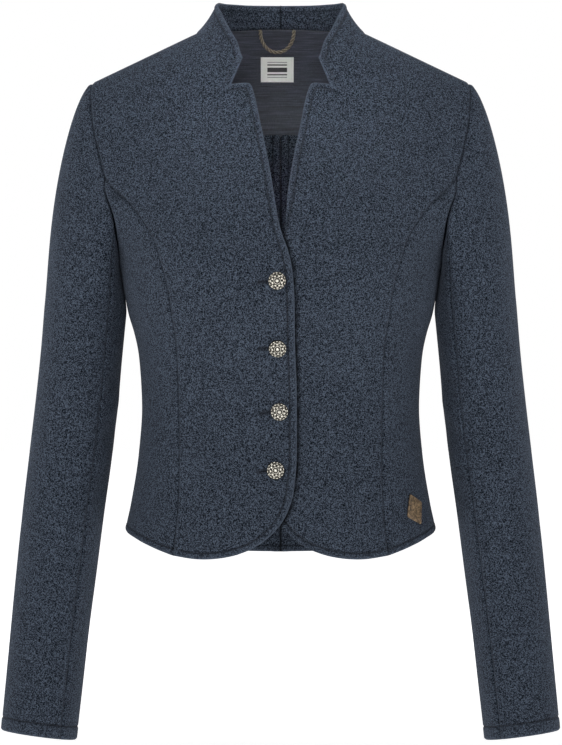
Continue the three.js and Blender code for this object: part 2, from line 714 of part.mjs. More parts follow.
// Back neck lining: the back's own cloth from the neck seam down to the yoke's hem, moved in
const liningSheet = new Sheet("back_neck_lining", "body");
{
  const ring = outline(["neckBack", "yokeBack", "-yokeHem", "-yokeShoulder"])
    .map((p) => ({ x: p.a * ROUND, y: p.w }));
  const at = back.flat.points.map((p) => body(p.x / ROUND, p.y));
  for (const t of back.flat.tris) {
    const centre = { x: 0, y: 0 };
    for (const i of t) {
      centre.x += back.flat.points[i].x / 3;
      centre.y += back.flat.points[i].y / 3;
    }
    if (!inside(centre, ring)) continue;
    const [a, b, c] = t.map((i) => at[i]);
    const [d, e, f] = [a, b, c].map((p) => new THREE.Vector3(-p.x, p.y, p.z));
    liningSheet.triangle(a, c, b);
    liningSheet.triangle(e, f, d);
  }
}
const liningIn = liningSheet.points.map((p) => inwards(p, "body"));
const liningGeometry = closed(
  liningSheet.points.map((p, i) => p.clone().addScaledVector(liningIn[i], WOOL + SEAM_GAP)),
  liningSheet.tris, liningIn.map((n) => n.clone().multiplyScalar(LINING)), 2 * SEAM_GAP,
);
put("back_neck_lining", liningGeometry, "lining");

// The lining's inner face, straight behind a point x, z
const liningMesh = new THREE.Mesh(liningGeometry, new THREE.MeshBasicMaterial({ side: THREE.DoubleSide }));
function onLining(x, z, off) {
  const ray = new THREE.Raycaster(new THREE.Vector3(x, 0, z), new THREE.Vector3(0, 1, 0));
  const found = ray.intersectObject(liningMesh)[0], at = locate(x, z, false);
  if (!found) throw new Error("no lining behind " + x + ", " + z);
  return found.point.addScaledVector(bodyNormal(at.a, at.w), -off);
}

// Neck label: a plain rectangle that lies on the lining
{
  const sheet = new Sheet("neck_label", "body"), { x, z, wide, high, columns, rows } = LABEL_SIZE;
  const point = (c, r) =>
    onLining(x + wide * (c / columns - 0.5), z + high * (r / rows - 0.5), SEAM_GAP + LABEL);
  sheet.grid(Array.from({ length: rows + 1 }, (_, r) =>
    Array.from({ length: columns + 1 }, (_, c) => point(c, r))));
  put("neck_label", closed(sheet.points, sheet.tris,
    sheet.normals().map((n) => n.multiplyScalar(-LABEL)), 0), "label");
}

// Leather tab on the left side front, low down; the cloth turns away there, so it shows narrow
{
  const at = locate(TAB.x, TAB.z, true);
  const ring = [];
  for (const [sx, sz, turn] of [[1, 1, 0], [-1, 1, 90], [-1, -1, 180], [1, -1, 270]])
    for (let k = 0; k <= 3; k++) {
      const t = ((turn + 30 * k) * PI) / 180;
      const girth = body(at.a + 0.01, at.w).distanceTo(body(at.a - 0.01, at.w)) / 0.02;
      const across = sx * (TAB.wide / 2 - TAB.corner) + TAB.corner * Math.cos(t);
      const up = sz * (TAB.high / 2 - TAB.corner) + TAB.corner * Math.sin(t);
      const cos = Math.cos((TAB.turn * PI) / 180), sin = Math.sin((TAB.turn * PI) / 180);
      ring.push({ a: at.a + (across * cos + up * sin) / girth, w: at.w + across * sin - up * cos });
    }
  put("leather_tab", onBody(ring, 7, SEAM_GAP + LEATHER, LEATHER), "leather");
}

// Buttons on the right front
BUTTONS.forEach((b, i) => {
  const at = locate(b.x, b.z, true);
  const foot = body(at.a, at.w), normal = bodyNormal(at.a, at.w);
  const geometry = new THREE.LatheGeometry(
    BUTTON_SECTION.map((s) => new THREE.Vector2(s.r, s.out)), BUTTON_SIDES,
  );
  const turn = new THREE.Quaternion().setFromUnitVectors(new THREE.Vector3(0, 1, 0), normal);
  geometry.applyQuaternion(turn);
  const c = foot.addScaledVector(normal, SEAM_GAP);
  geometry.translate(c.x, c.y, c.z);
  put("button_" + (i + 1), geometry, "metal");
});

// Hanger loop of cord that hangs from the back neck seam, inside
{
  const spine = Array.from({ length: LOOP.turns + 1 }, (_, i) => {
    const t = (PI * i) / LOOP.turns, down = LOOP.hang * Math.abs(Math.sin(t)) ** 0.9;
    return onLining(LOOP.x + LOOP.half * Math.cos(t), LOOP.z - down, LOOP.radius + SEAM_GAP);
  });
  const { turns, radius, sides } = LOOP;
  const tube = new THREE.TubeGeometry(new THREE.CatmullRomCurve3(spine), turns, radius, sides, false);
  const at = tube.getAttribute("position");
  const points = [], faces = [];
  for (let r = 0; r <= turns; r++)
    for (let s = 0; s < sides; s++)
      points.push(new THREE.Vector3().fromBufferAttribute(at, r * (sides + 1) + s));
  for (let r = 0; r < turns; r++)
    for (let s = 0; s < sides; s++) {
      const a = r * sides + s, b = r * sides + ((s + 1) % sides), c = a + sides, d = b + sides;
      faces.push([a, b, c], [b, d, c]);
    }
  const ends = [points.slice(0, sides), points.slice(-sides)].map((ring) =>
    points.push(ring.reduce((s, p) => s.addScaledVector(p, 1 / sides), new THREE.Vector3())) - 1);
  for (let s = 0; s < sides; s++) {
    const n = (s + 1) % sides, last = turns * sides;
    faces.push([ends[0], n, s], [ends[1], last + s, last + n]);
  }
  const geometry = new THREE.BufferGeometry();
  geometry.setAttribute("position", new THREE.Float32BufferAttribute(points.flatMap((p) => p.toArray()), 3));
  geometry.setIndex(faces.flat());
  let volume = 0;
  for (const [a, b, c] of faces) volume += points[a].dot(points[b].clone().cross(points[c]));
  if (volume < 0) geometry.setIndex(faces.flatMap(([a, b, c]) => [c, b, a]));
  geometry.computeVertexNormals();
  put("hanger_loop", geometry, "cord");
}

export default group;
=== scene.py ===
import functools
import math

import bmesh
import bpy
import numpy as np
from bpy.props import FloatProperty, FloatVectorProperty, IntProperty, PointerProperty
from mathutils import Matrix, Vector
from mathutils.geometry import delaunay_2d_cdt
from mathutils.kdtree import KDTree


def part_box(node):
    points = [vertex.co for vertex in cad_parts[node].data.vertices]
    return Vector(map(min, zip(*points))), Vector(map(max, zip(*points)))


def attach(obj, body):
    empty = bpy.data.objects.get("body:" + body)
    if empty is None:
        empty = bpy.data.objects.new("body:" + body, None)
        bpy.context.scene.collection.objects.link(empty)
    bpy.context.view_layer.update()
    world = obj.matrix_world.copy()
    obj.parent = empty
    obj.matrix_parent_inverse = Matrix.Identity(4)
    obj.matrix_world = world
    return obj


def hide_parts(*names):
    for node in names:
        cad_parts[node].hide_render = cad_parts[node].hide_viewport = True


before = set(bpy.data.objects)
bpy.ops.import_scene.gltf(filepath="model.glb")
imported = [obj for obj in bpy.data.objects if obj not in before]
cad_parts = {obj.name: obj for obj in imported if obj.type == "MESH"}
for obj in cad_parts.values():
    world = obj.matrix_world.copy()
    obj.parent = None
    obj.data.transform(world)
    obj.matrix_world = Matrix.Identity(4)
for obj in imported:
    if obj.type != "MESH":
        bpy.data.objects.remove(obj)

bl_info = {
    "name": "Trachten cardigan",
    "version": (1, 0, 0),
    "blender": (4, 5, 0),
    "location": "3D View > Sidebar > Cardigan",
    "description": "Short boiled-wool cardigan with a notched stand collar, in worn form",
    "category": "Object",
}

# Lengths in the tables are millimetres; +X is the wearer's left, -Y the front, +Z up.
MM = 0.001
WOOL = 2.3  # thickness of the boiled wool
SEAM_GAP = 0.3
TOUCH = 0.001  # between the edges of two pieces that are sewn together
LINING = 0.9
LINING_CLEAR = 0.5  # between the lining and what is sewn onto it
LABEL = 0.5
LEATHER = 1.6
UNDERLAP = 3.2  # how far the left front edge lies behind the right one
V_SHIFT = 4.5  # how far the left front edge lies further out at the foot of the V
SIDE_NECK = 80.3
SHOULDER = 178.6
SHOULDER_LONG = 108
ROUND = 150.0  # millimetres of cloth that one radian of girth stands for
PI = math.pi
MIRROR = (-1, 1, 1)

# Body sections: way down the cloth, height lost, half width, depth before and behind the
# shoulder line, fullness of the corners, share of the shoulder's slope
WAY, DROP, SIDE, FRONT, BACK, SQUARE, SLOPE = range(7)
BODY = np.array([
    (0, 0, 216, 0, 0, 0.2, 1),
    (15, 3, 216, 14.5, 15, 0.2, 1),
    (30, 11, 216, 26, 29, 0.2, 1),
    (45, 22, 215, 36, 42, 0.2, 1),
    (65, 38, 214, 46, 55, 0.22, 1),
    (92, 60, 212, 56, 68, 0.24, 1),
    (122, 88, 208, 67, 80, 0.26, 0.96),
    (152, 116, 201, 79, 88, 0.28, 0.82),
    (187, 149, 182, 95, 94, 0.28, 0.55),
    (220, 182, 164.5, 108, 97, 0.28, 0.28),
    (241, 203, 155.5, 115, 98, 0.28, 0.12),
    (258, 220, 152.5, 119, 98, 0.28, 0.03),
    (281, 243, 148.3, 120, 97, 0.28, 0),
    (304, 266, 144, 116, 95, 0.27, 0),
    (322, 284, 138.6, 110.5, 91.5, 0.26, 0),
    (341, 303, 134.6, 104, 88, 0.26, 0),
    (372, 334, 132, 96, 84, 0.26, 0),
    (400, 362, 131.4, 93, 82, 0.26, 0),
    (445, 407, 135.4, 94.5, 86, 0.26, 0),
    (485, 447, 142, 97.5, 91.5, 0.26, 0),
    (508, 470, 147, 99.5, 94.5, 0.26, 0),
    (560, 522, 156, 104, 99, 0.26, 0),
], float)
# Height of the shoulder line over the side neck point: half width, before, behind
SHOULDER_LINE = np.array([
    (-30, 29, 36), (0, 34, 38), (25, 26, 36.5), (45, 16.5, 30), (62, 8.5, 16.5), (80.3, 0, 0),
    (82, -0.8, -0.8), (100, -9.3, -9.3), (130, -23.6, -23.6), (178.6, -46.6, -46.6),
    (216, -64.4, -64.4),
], float)
BUST = {"x": 76, "z": -222, "out": 7, "wide": 46, "high": 50}

# Edges and seams of one half, as x and z seen from the front or from behind
FRONT_EDGE = [
    (26.5, -57), (23.5, -67), (17, -99), (8.6, -142), (2.3, -181), (-1.6, -196), (-6.3, -209),
    (-10.1, -225), (-12.4, -250), (-13.2, -296), (-14.8, -335), (-15.1, -374), (-14.7, -404),
    (-13.3, -421), (-10.8, -437), (-4.2, -454), (3.5, -465), (14, -475), (27.4, -483.7),
]
FRONT_HEM = [(27.4, -483.7), (42.5, -489.1), (60, -492.2), (78, -492.7), (99.5, -489.9)]
SIDE_HEM = [(99.5, -489.9), (112, -485.8), (127, -480.1), (140, -474.4), (147.1, -470.2)]
BACK_HEM = [(147.1, -470.2), (135, -476.8), (112, -486.2), (80, -493.2), (40, -496.8), (0, -497.8)]
LAPEL_TOP = [(46, -53.3), (38, -52.6), (32, -52.3), (29.2, -53), (27.6, -54.8), (26.5, -57)]
NECK_FRONT = [(46, -53.3), (61, -37), (73, -18), (80.3, 0)]
NECK_BACK = [(80.3, 0), (74, 2.2), (62, 5.6), (42, 9.4), (20, 11), (0, 11.3)]
PRINCESS = [
    (163.3, -141), (141, -164), (124, -187), (113, -211), (106, -235), (101.6, -258),
    (98, -284), (95.6, -314), (94.6, -347), (94, -384), (94.3, -430), (96, -460), (99.5, -489.9),
]
ARMHOLE_UPPER = [(178.6, -46.6), (179.3, -64), (176.8, -88), (170.3, -117), (163.3, -141)]
ARMHOLE_LOWER = [(163.3, -141), (155.6, -178), (152.9, -198), (152.3, -213), (152.5, -220)]
ARMHOLE_BACK = [
    (178.6, -46.6), (178.5, -68), (174.5, -96), (167, -128), (159.5, -162), (154.5, -190),
    (152.5, -210), (152.5, -220),
]
YOKE_HEM = [(113, -15.5), (112, -38), (98, -61), (70, -78), (35, -87), (0, -89)]
COLLAR_HIGH = 36.0  # measured along the cloth, from the neck line to the top edge
COLLAR_HOLLOW = 2.2  # how far the collar curves in between the two
# Top edge of the collar: share of the way round, x, y, z
COLLAR_TOP = np.array([
    (0, 33.6, -49, -22.5), (0.17, 47, -34.5, -1), (0.33, 57, -14, 20), (0.5, 60.8, 4, 30),
    (0.66, 51, 25, 31.7), (0.83, 28, 39, 32), (1, 0, 43, 32),
], float)
# Sleeve sections below the cap: z, centre x, centre y, half width, half depth
SLEEVE = np.array([
    (-264, 185.4, 0, 38.7, 53), (-306, 189.3, 2, 38.4, 52.5), (-348, 193.5, 4, 38.8, 51.5),
    (-400, 199.5, 3, 38.8, 50), (-452, 206, 0, 38.2, 48.5), (-505, 211.8, -4, 37.4, 46.5),
    (-555, 217.3, -9, 36.6, 44.5), (-610, 222.7, -14, 36, 42.5), (-663, 228, -18, 35.4, 41),
], float)
SLEEVE_TILT, CUFF_TILT, CUFF_PITCH = 0.108, 0.03, 0.08
CAP_SWELL = 2.6  # how far the sleeve cap swells out at its fullest
CAP_LONG, SLEEVE_GIRTH = 150, 290  # lengths by which rows and columns of the net are counted
SLEEVE_UV = (46, 400)  # length in the UV map of one radian of turn and of the way down
SLEEVE_TOP, SLEEVE_END = SLEEVE[0, 0], SLEEVE[-1, 0]
FRONT_SEAM_TURN = math.radians(130.5)  # sleeve seams, turned from the outer side to the front
BACK_SEAM_TURN = math.radians(239.4)

# Soft creases of the body: x and z of both ends, whether on the front, width, height
BODY_CREASES = [
    (150, -214, 118, -232, True, 9, -1.1),
    (147, -236, 122, -262, True, 10, 0.9),
    (133, -330, 100, -338, True, 10, -0.9),
    (132, -362, 104, -374, True, 9, -0.7),
    (164, -120, 140, -138, True, 9, -0.8),
    (70, -300, 52, -372, True, 15, -0.7),
    (60, -395, 66, -462, True, 14, 0.7),
    (118, -400, 122, -470, True, 10, -0.8),
    (152, -205, 112, -222, False, 10, -1.4),
    (150, -236, 104, -262, False, 12, 1.1),
    (128, -318, 62, -334, False, 12, -1.3),
    (126, -345, 40, -352, False, 13, 1.2),
    (124, -372, 58, -386, False, 12, -1.1),
    (60, -410, 66, -480, False, 14, 0.9),
    (108, -420, 116, -470, False, 12, -1.0),
    (168, -110, 140, -128, False, 10, -1.0),
]
GIRTH_OF_DEGREE = 0.8  # millimetres round the sleeve in one degree
# Soft creases of the sleeves: turn in degrees and z of both ends, width, height
SLEEVE_CREASES = [
    (148, -262, 92, -292, 9, -1.3),
    (160, -284, 100, -322, 10, 1.0),
    (176, -318, 108, -344, 9, -1.4),
    (188, -346, 112, -366, 9, 1.0),
    (184, -372, 104, -384, 9, -1.5),
    (176, -404, 96, -404, 10, 1.0),
    (170, -436, 90, -424, 11, -1.1),
    (262, -350, 210, -366, 10, -1.2),
    (280, -392, 216, -398, 11, 1.1),
    (262, -430, 206, -422, 10, -1.2),
    (60, -150, 84, -214, 12, -0.9),
    (300, -150, 276, -214, 12, -1.0),
    (20, -470, 40, -560, 14, 0.7),
    (150, -540, 96, -560, 10, -0.8),
    (166, -600, 120, -612, 10, 0.7),
]
BUTTONS = [(-3.2, -238.6), (-2.7, -299), (-1.0, -357.5), (-4.5, -411.4)]
TAB = {"x": 124.6, "z": -448.8, "high": 22.5, "wide": 19.5, "corner": 1.5,
       "turn": math.radians(24), "stitch_inset": 2.0}
NECK_ASIDE = -0.6  # label and loop are sewn on a little towards the right shoulder
BUTTONHOLE = {"inner": 4.5, "outer": 17.5, "fall": 1.2, "run": 12}  # it falls 1.2 in 12
# Each button is sewn on a little further turned than the one above it
BUTTON = {"turn": 0.35, "rim_high": 3.9, "dome": 1.5, "relief": 0.85, "shank": 2.8,
          "shank_high": 1.7}
BUTTON_BACK = [(1.0, 3.0), (0.97, 2.5), (0.86, 2.1)]  # share of the radius, height over the cloth

# Relief of the wool: rounding of an edge as a share of the thickness, grooves at a seam and at
# a line of stitches, swelling between edge and stitches, slit of a buttonhole and its lips
EDGE_ROUND, SEAM_GROOVE, STITCH_GROOVE, EDGE_SWELL, SLIT, SLIT_LIPS = 0.42, 1.0, 0.8, 0.35, 0.8, 0.25
# Light and shade painted on the wool: painted shade at seams, stitches and slits, a painted
# shadow under the right front's edge, on the inside also at the allowances and the collar's
# seam; painted highlights on edges and up to the stitches
SEAM_PAINTED_SHADE, STITCH_PAINTED_SHADE, SLIT_PAINTED_SHADE, CLOSURE_PAINTED_SHADOW, ALLOWANCE_PAINTED_SHADE, COLLAR_SEAM_PAINTED_SHADE = (
    0.5, 0.65, 0.45, 1.2, 0.8, 0.5)
EDGE_PAINTED_HIGHLIGHT, BAND_PAINTED_HIGHLIGHT = 1.3, 0.12

# Distances of the net's rows of points from open edges and from seams
EDGE_ROWS = (0.45, 1.1, 2.2, 3.8, 4.8, 5.5, 6.1, 6.7, 7.4, 8.4, 10.8)
SEAM_ROWS = (0.7, 1.5, 2.8, 4.6)
ALLOWANCE = 7.2  # pressed open on each side of the centre back seam
ALLOWANCE_STEP = 1.1
# Pleats that the lining takes up at its hem, and soft folds above them: x, width, height
LINING_PLEATS = [
    (-24, 3.4, -0.9), (-13, 3.0, 0.8), (-5, 2.4, -1.2), (2, 2.6, 1.0), (9, 2.8, -1.1),
    (19, 3.4, 0.8), (31, 4.2, -0.8), (48, 6, 0.6), (-40, 5, 0.6), (66, 7, -0.5),
]
LINING_FOLDS = [(-30, 6, 0.5), (-9, 5, -0.5), (14, 6, 0.45), (34, 7, -0.5)]
LOOP = {"radius": 1.75, "turns": 110, "sides": 18, "twist": 1.35}
# Cut of each wool piece, laid flat, in metres: width, length, area
CUTS = {
    "front": (0.205, 0.545, 0.068), "side_front": (0.105, 0.350, 0.0285),
    "back": (0.210, 0.510, 0.0925), "sleeve_top": (0.245, 0.630, 0.1030),
    "sleeve_under": (0.120, 0.500, 0.0405),
}
FLOOR_REACH = 14.0  # metres
# Studio lights: place, size, power in watts, height that it is aimed at, spread of its beam
LIGHTS = {
    "Key": ((-2.2, -1.9, 1.0), 0.8, 10.5, -0.32, PI),
    "Second key": ((2.2, -1.9, 1.0), 0.8, 10, -0.32, PI),
    "Fill": ((-0.35, -3.0, 0.4), 0.9, 20.5, -0.32, PI),
    "Neck": ((-0.05, -2.6, 0.5), 0.2, 0.05, -0.06, 0.10),
    "Top": ((0.0, 0.1, 1.9), 1.6, 15, -0.32, PI),
    "Right side": ((-2.2, 1.2, 0.5), 1.4, 5, -0.32, PI),
    "Left side": ((2.2, 1.2, 0.5), 1.4, 5, -0.32, PI),
    "Back": ((0.2, 2.6, 0.8), 1.8, 10, -0.32, PI),
}


class CardiganCloth(bpy.types.PropertyGroup):
    """Sizes and colours of the wool and its sewing"""

    mesh_step: FloatProperty(
        name="Mesh step", description="Side of a triangle on the open cloth",
        default=5.0 * MM, min=2 * MM, max=20 * MM, unit="LENGTH")
    edge_step: FloatProperty(
        name="Edge step", description="Side of a triangle along seams and edges",
        default=3.2 * MM, min=1 * MM, max=20 * MM, unit="LENGTH")
    topstitch: FloatProperty(
        name="Topstitch distance", description="From the edge to its line of stitches",
        default=6.6 * MM, min=3 * MM, max=12 * MM, unit="LENGTH")
    collar_topstitch: FloatProperty(
        name="Collar stitch distance", description="The same along the collar, the V and the hem",
        default=5.7 * MM, min=3 * MM, max=12 * MM, unit="LENGTH")
    cuff_topstitch: FloatProperty(
        name="Cuff stitch distance", description="From the cuff's edge to its line of stitches",
        default=12.5 * MM, min=3 * MM, max=30 * MM, unit="LENGTH")
    stitch_pitch: FloatProperty(
        name="Stitch pitch", description="From one stitch to the next",
        default=3.4 * MM, min=1 * MM, max=8 * MM, unit="LENGTH")
    stitch_thickness: FloatProperty(
        name="Thread", description="Thickness of the topstitching thread",
        default=0.55 * MM, min=0.1 * MM, max=2 * MM, unit="LENGTH")
    wool_dark: FloatVectorProperty(
        name="Wool, dark fibres", description="Darkest of the heathered fibres",
        default=(0.0015, 0.0025, 0.0052), min=0, max=1, subtype="COLOR")
    wool_mid: FloatVectorProperty(
        name="Wool, ground", description="Ground colour of the wool",
        default=(0.0145, 0.0200, 0.032), min=0, max=1, subtype="COLOR")
    wool_light: FloatVectorProperty(
        name="Wool, light fibres", description="Lightest of the heathered fibres",
        default=(0.090, 0.114, 0.155), min=0, max=1, subtype="COLOR")
    thread: FloatVectorProperty(
        name="Thread colour", description="Colour of the sewing thread",
        default=(0.012, 0.015, 0.024), min=0, max=1, subtype="COLOR")


class CardiganTrim(bpy.types.PropertyGroup):
    """Sizes and colours of buttons, lining, loop, label and tab"""

    button_radius: FloatProperty(
        name="Button radius", description="Radius of a button's face",
        default=8.2 * MM, min=5 * MM, max=15 * MM, unit="LENGTH")
    petals: IntProperty(
        name="Petals", description="Petals of the rosette on a button", default=8, min=4, max=16)
    loop_strands: IntProperty(
        name="Loop strands", description="Strands twisted into the hanger loop",
        default=3, min=2, max=6)
    silver: FloatVectorProperty(
        name="Silver", description="Raised metal of the buttons",
        default=(0.84, 0.80, 0.70), min=0, max=1, subtype="COLOR")
    tarnish: FloatVectorProperty(
        name="Tarnish", description="Metal in the recesses of the buttons",
        default=(0.055, 0.050, 0.040), min=0, max=1, subtype="COLOR")
    lining: FloatVectorProperty(
        name="Lining", description="Ground colour of the lining",
        default=(0.044, 0.050, 0.070), min=0, max=1, subtype="COLOR")
    cord: FloatVectorProperty(
        name="Loop", description="Colour of the hanger loop",
        default=(0.33, 0.285, 0.21), min=0, max=1, subtype="COLOR")
    leather: FloatVectorProperty(
        name="Leather", description="Colour of the leather tab",
        default=(0.185, 0.128, 0.075), min=0, max=1, subtype="COLOR")


class CardiganStage(bpy.types.PropertyGroup):
    """Camera, floor and light"""

    distance: FloatProperty(
        name="Camera distance", description="From the camera to the shoulder line",
        default=2.6, min=1, max=10, unit="LENGTH")
    height: FloatProperty(
        name="Camera height", description="Height of the camera over the shoulder seams",
        default=-0.3216, min=-2, max=2, unit="LENGTH")
    aside: FloatProperty(
        name="Camera aside", description="From the middle plane to the camera", default=0.0004,
        min=-1, max=1, unit="LENGTH")
    lens: FloatProperty(
        name="Lens", description="Focal length", default=132.25, min=20, max=300,
        unit="CAMERA")
    floor: FloatProperty(
        name="Floor height", description="Height of the floor", default=-0.80, min=-3, max=0,
        unit="LENGTH")
    pale: FloatVectorProperty(
        name="Ground colour", description="Colour of floor and ground",
        default=(0.93, 0.93, 0.93), min=0, max=1, subtype="COLOR")


def bend(t, start, leave, end, arrive):
    """Cubic from one value to another, with its slopes at both ends."""
    return (start * (1 + t * t * (2 * t - 3)) + leave * t * (1 - t) ** 2
            + end * t * t * (3 - 2 * t) + arrive * t * t * (t - 1))


def curve(rows, column, at):
    """Smooth curve through one column of a table, read at values of its first column."""
    x, y = rows[:, 0], rows[:, column]
    if x[-1] < x[0]:
        x, y = x[::-1], y[::-1]
    slope = np.empty_like(y)
    slope[1:-1] = (y[2:] - y[:-2]) / (x[2:] - x[:-2])
    slope[0], slope[-1] = (y[1] - y[0]) / (x[1] - x[0]), (y[-1] - y[-2]) / (x[-1] - x[-2])
    at = np.clip(at, x[0], x[-1])
    i = np.clip(np.searchsorted(x, at, side="right") - 1, 0, len(x) - 2)
    span = x[i + 1] - x[i]
    return bend((at - x[i]) / span, y[i], slope[i] * span, y[i + 1], slope[i + 1] * span)


def smooth(low, high, value):
    t = np.clip((value - low) / (high - low), 0, 1)
    return t * t * (3 - 2 * t)


def bell(value, wide, at=0):
    """1 at a place, and fading on both sides of it."""
    return np.exp(-((value - at) / wide) ** 2)


def unit(vectors):
    return vectors / np.maximum(np.linalg.norm(vectors, axis=-1, keepdims=True), 1e-12)


def rise(x, is_front):
    ahead, behind = (curve(SHOULDER_LINE, c, np.abs(x)) for c in (1, 2))
    return np.where(is_front, ahead, behind)


def body(angle, way):
    """Outer face of the body at an angle of girth (0 front, 90 side, 180 back) and a way down."""
    angle, way = np.broadcast_arrays(np.asarray(angle, float), np.asarray(way, float))
    s = {c: curve(BODY, c, way) for c in range(1, 7)}
    sin, cos = np.sin(angle), np.cos(angle)
    is_front = cos > 0
    x = s[SIDE] * sin
    z = -s[DROP] + s[SLOPE] * rise(x, is_front)
    fullness = bell(np.abs(x), BUST["wide"], BUST["x"]) * bell(z, BUST["high"], BUST["z"])
    bust = np.where(is_front, BUST["out"] * cos * fullness, 0)
    depth = np.where(is_front, s[FRONT], s[BACK])
    return np.stack([x, -depth * cos * (1 + s[SQUARE] * sin * sin) - bust, z], -1)


def body_normal(angle, way):
    way, e = np.maximum(way, 0.5), 0.05
    across = body(angle + e / ROUND, way) - body(angle - e / ROUND, way)
    return unit(np.cross(body(angle, way + e) - body(angle, way - e), across))


def locate(x, z, is_front):
    """Angle and way of the body's points that show at x, z from the front or from behind."""
    x, z = np.broadcast_arrays(np.asarray(x, float), np.asarray(z, float))
    low, high = np.zeros(x.shape), np.full(x.shape, BODY[-1, WAY])
    for _ in range(44):
        way = (low + high) / 2
        above = -curve(BODY, DROP, way) + curve(BODY, SLOPE, way) * rise(x, is_front) > z
        low, high = np.where(above, way, low), np.where(above, high, way)
    angle = np.arcsin(np.clip(x / curve(BODY, SIDE, low), -1, 1))
    return np.stack([angle if is_front else PI - angle, low], -1)


def lengths(points):
    return np.concatenate([[0], np.cumsum(np.linalg.norm(np.diff(points, axis=0), axis=1))])


def spread(long, step, dense_start=(), dense_end=()):
    """Places along a length: even steps, with extra ones at given distances from its ends."""
    start, end = max(dense_start, default=0), long - max(dense_end, default=0)
    even = np.linspace(start, end, max(2, int(round((end - start) / step)) + 1))
    places = np.concatenate([[0], dense_start, even, long - np.array(dense_end), [long]])
    return np.unique(np.round(places, 4))


def path(rows, is_front, step, **dense):
    """A seam or edge as rows of angle and way: smooth through a table, cut into equal steps."""
    knots = locate(*np.array(rows, float).T, is_front)
    flat = knots * (ROUND, 1)
    at = np.concatenate([[0], np.cumsum(np.linalg.norm(np.diff(flat, axis=0), axis=1) ** 0.5)])
    table = np.column_stack([at, knots])
    fine = np.linspace(0, at[-1], 900)
    line = np.column_stack([curve(table, 1, fine), np.maximum(curve(table, 2, fine), 0)])
    long = lengths(body(*line.T))
    places = spread(long[-1], step, **dense)
    return np.column_stack([np.interp(places, long, line[:, k]) for k in (0, 1)])


def plumb(angle, top, low, step):
    """A seam that runs straight down the cloth."""
    count = int(round((low - top) / step)) + 1
    return np.column_stack([np.full(count, angle), np.linspace(top, low, count)])


@functools.cache
def seams(step):
    """Every edge and seam of one half of the body, with shared end points."""
    x = np.linspace(SIDE_NECK, SHOULDER, int(round(SHOULDER_LONG / step)) + 1)
    angle = np.arcsin(x / BODY[0, SIDE])
    level = np.zeros_like(angle)
    s = {
        "shoulder_front": np.column_stack([angle, level]),
        "shoulder_back": np.column_stack([PI - angle, level]),
        "edge": path(FRONT_EDGE, True, step),
        "lapel": path(LAPEL_TOP, True, step * 0.6),
        "neck_front": path(NECK_FRONT, True, step, dense_start=EDGE_ROWS[:6]),
        "neck_back": path(NECK_BACK, False, step, dense_end=SEAM_ROWS),
        "front_hem": path(FRONT_HEM, True, step),
        "side_hem": path(SIDE_HEM, True, step),
        "back_hem": path(BACK_HEM, False, step),
        "princess": path(PRINCESS, True, step),
        "arm_upper": path(ARMHOLE_UPPER, True, step),
        "arm_lower": path(ARMHOLE_LOWER, True, step),
        "arm_back": path(ARMHOLE_BACK, False, step),
    }
    s["neck_front"][-1], s["neck_back"][0] = s["shoulder_front"][0], s["shoulder_back"][0]
    s["arm_upper"][0], s["arm_back"][0] = s["shoulder_front"][-1], s["shoulder_back"][-1]
    s["neck_front"][0] = s["lapel"][0]
    s["edge"][0], s["front_hem"][0] = s["lapel"][-1], s["edge"][-1]
    s["princess"][0], s["arm_lower"][0] = s["arm_upper"][-1], s["arm_upper"][-1]
    s["princess"][-1], s["side_hem"][0] = s["front_hem"][-1], s["front_hem"][-1]
    underarm = np.array([PI / 2, s["arm_lower"][-1, 1]])
    foot = np.array([PI / 2, s["side_hem"][-1, 1]])
    s["arm_lower"][-1] = s["arm_back"][-1] = underarm
    s["side_hem"][-1] = s["back_hem"][0] = foot
    s["side"] = plumb(PI / 2, underarm[1], foot[1], step)
    s["centre_back"] = plumb(PI, s["neck_back"][-1, 1], s["back_hem"][-1, 1], step)
    s["neck_back"][-1], s["back_hem"][-1] = s["centre_back"][0], s["centre_back"][-1]
    return s


def distance(points, lines):
    """Distance of each point to the nearest of some polylines."""
    a, b = (np.concatenate([line[ends] for line in lines]) for ends in (slice(-1), slice(1, None)))
    run = b - a
    size = np.maximum((run * run).sum(1), 1e-12)
    least = np.empty(len(points))
    for i in range(0, len(points), 2000):
        p = points[i:i + 2000, None]
        t = np.clip(((p - a) * run).sum(2) / size, 0, 1)
        least[i:i + 2000] = np.linalg.norm(p - a - t[..., None] * run, axis=2).min(1)
    return least


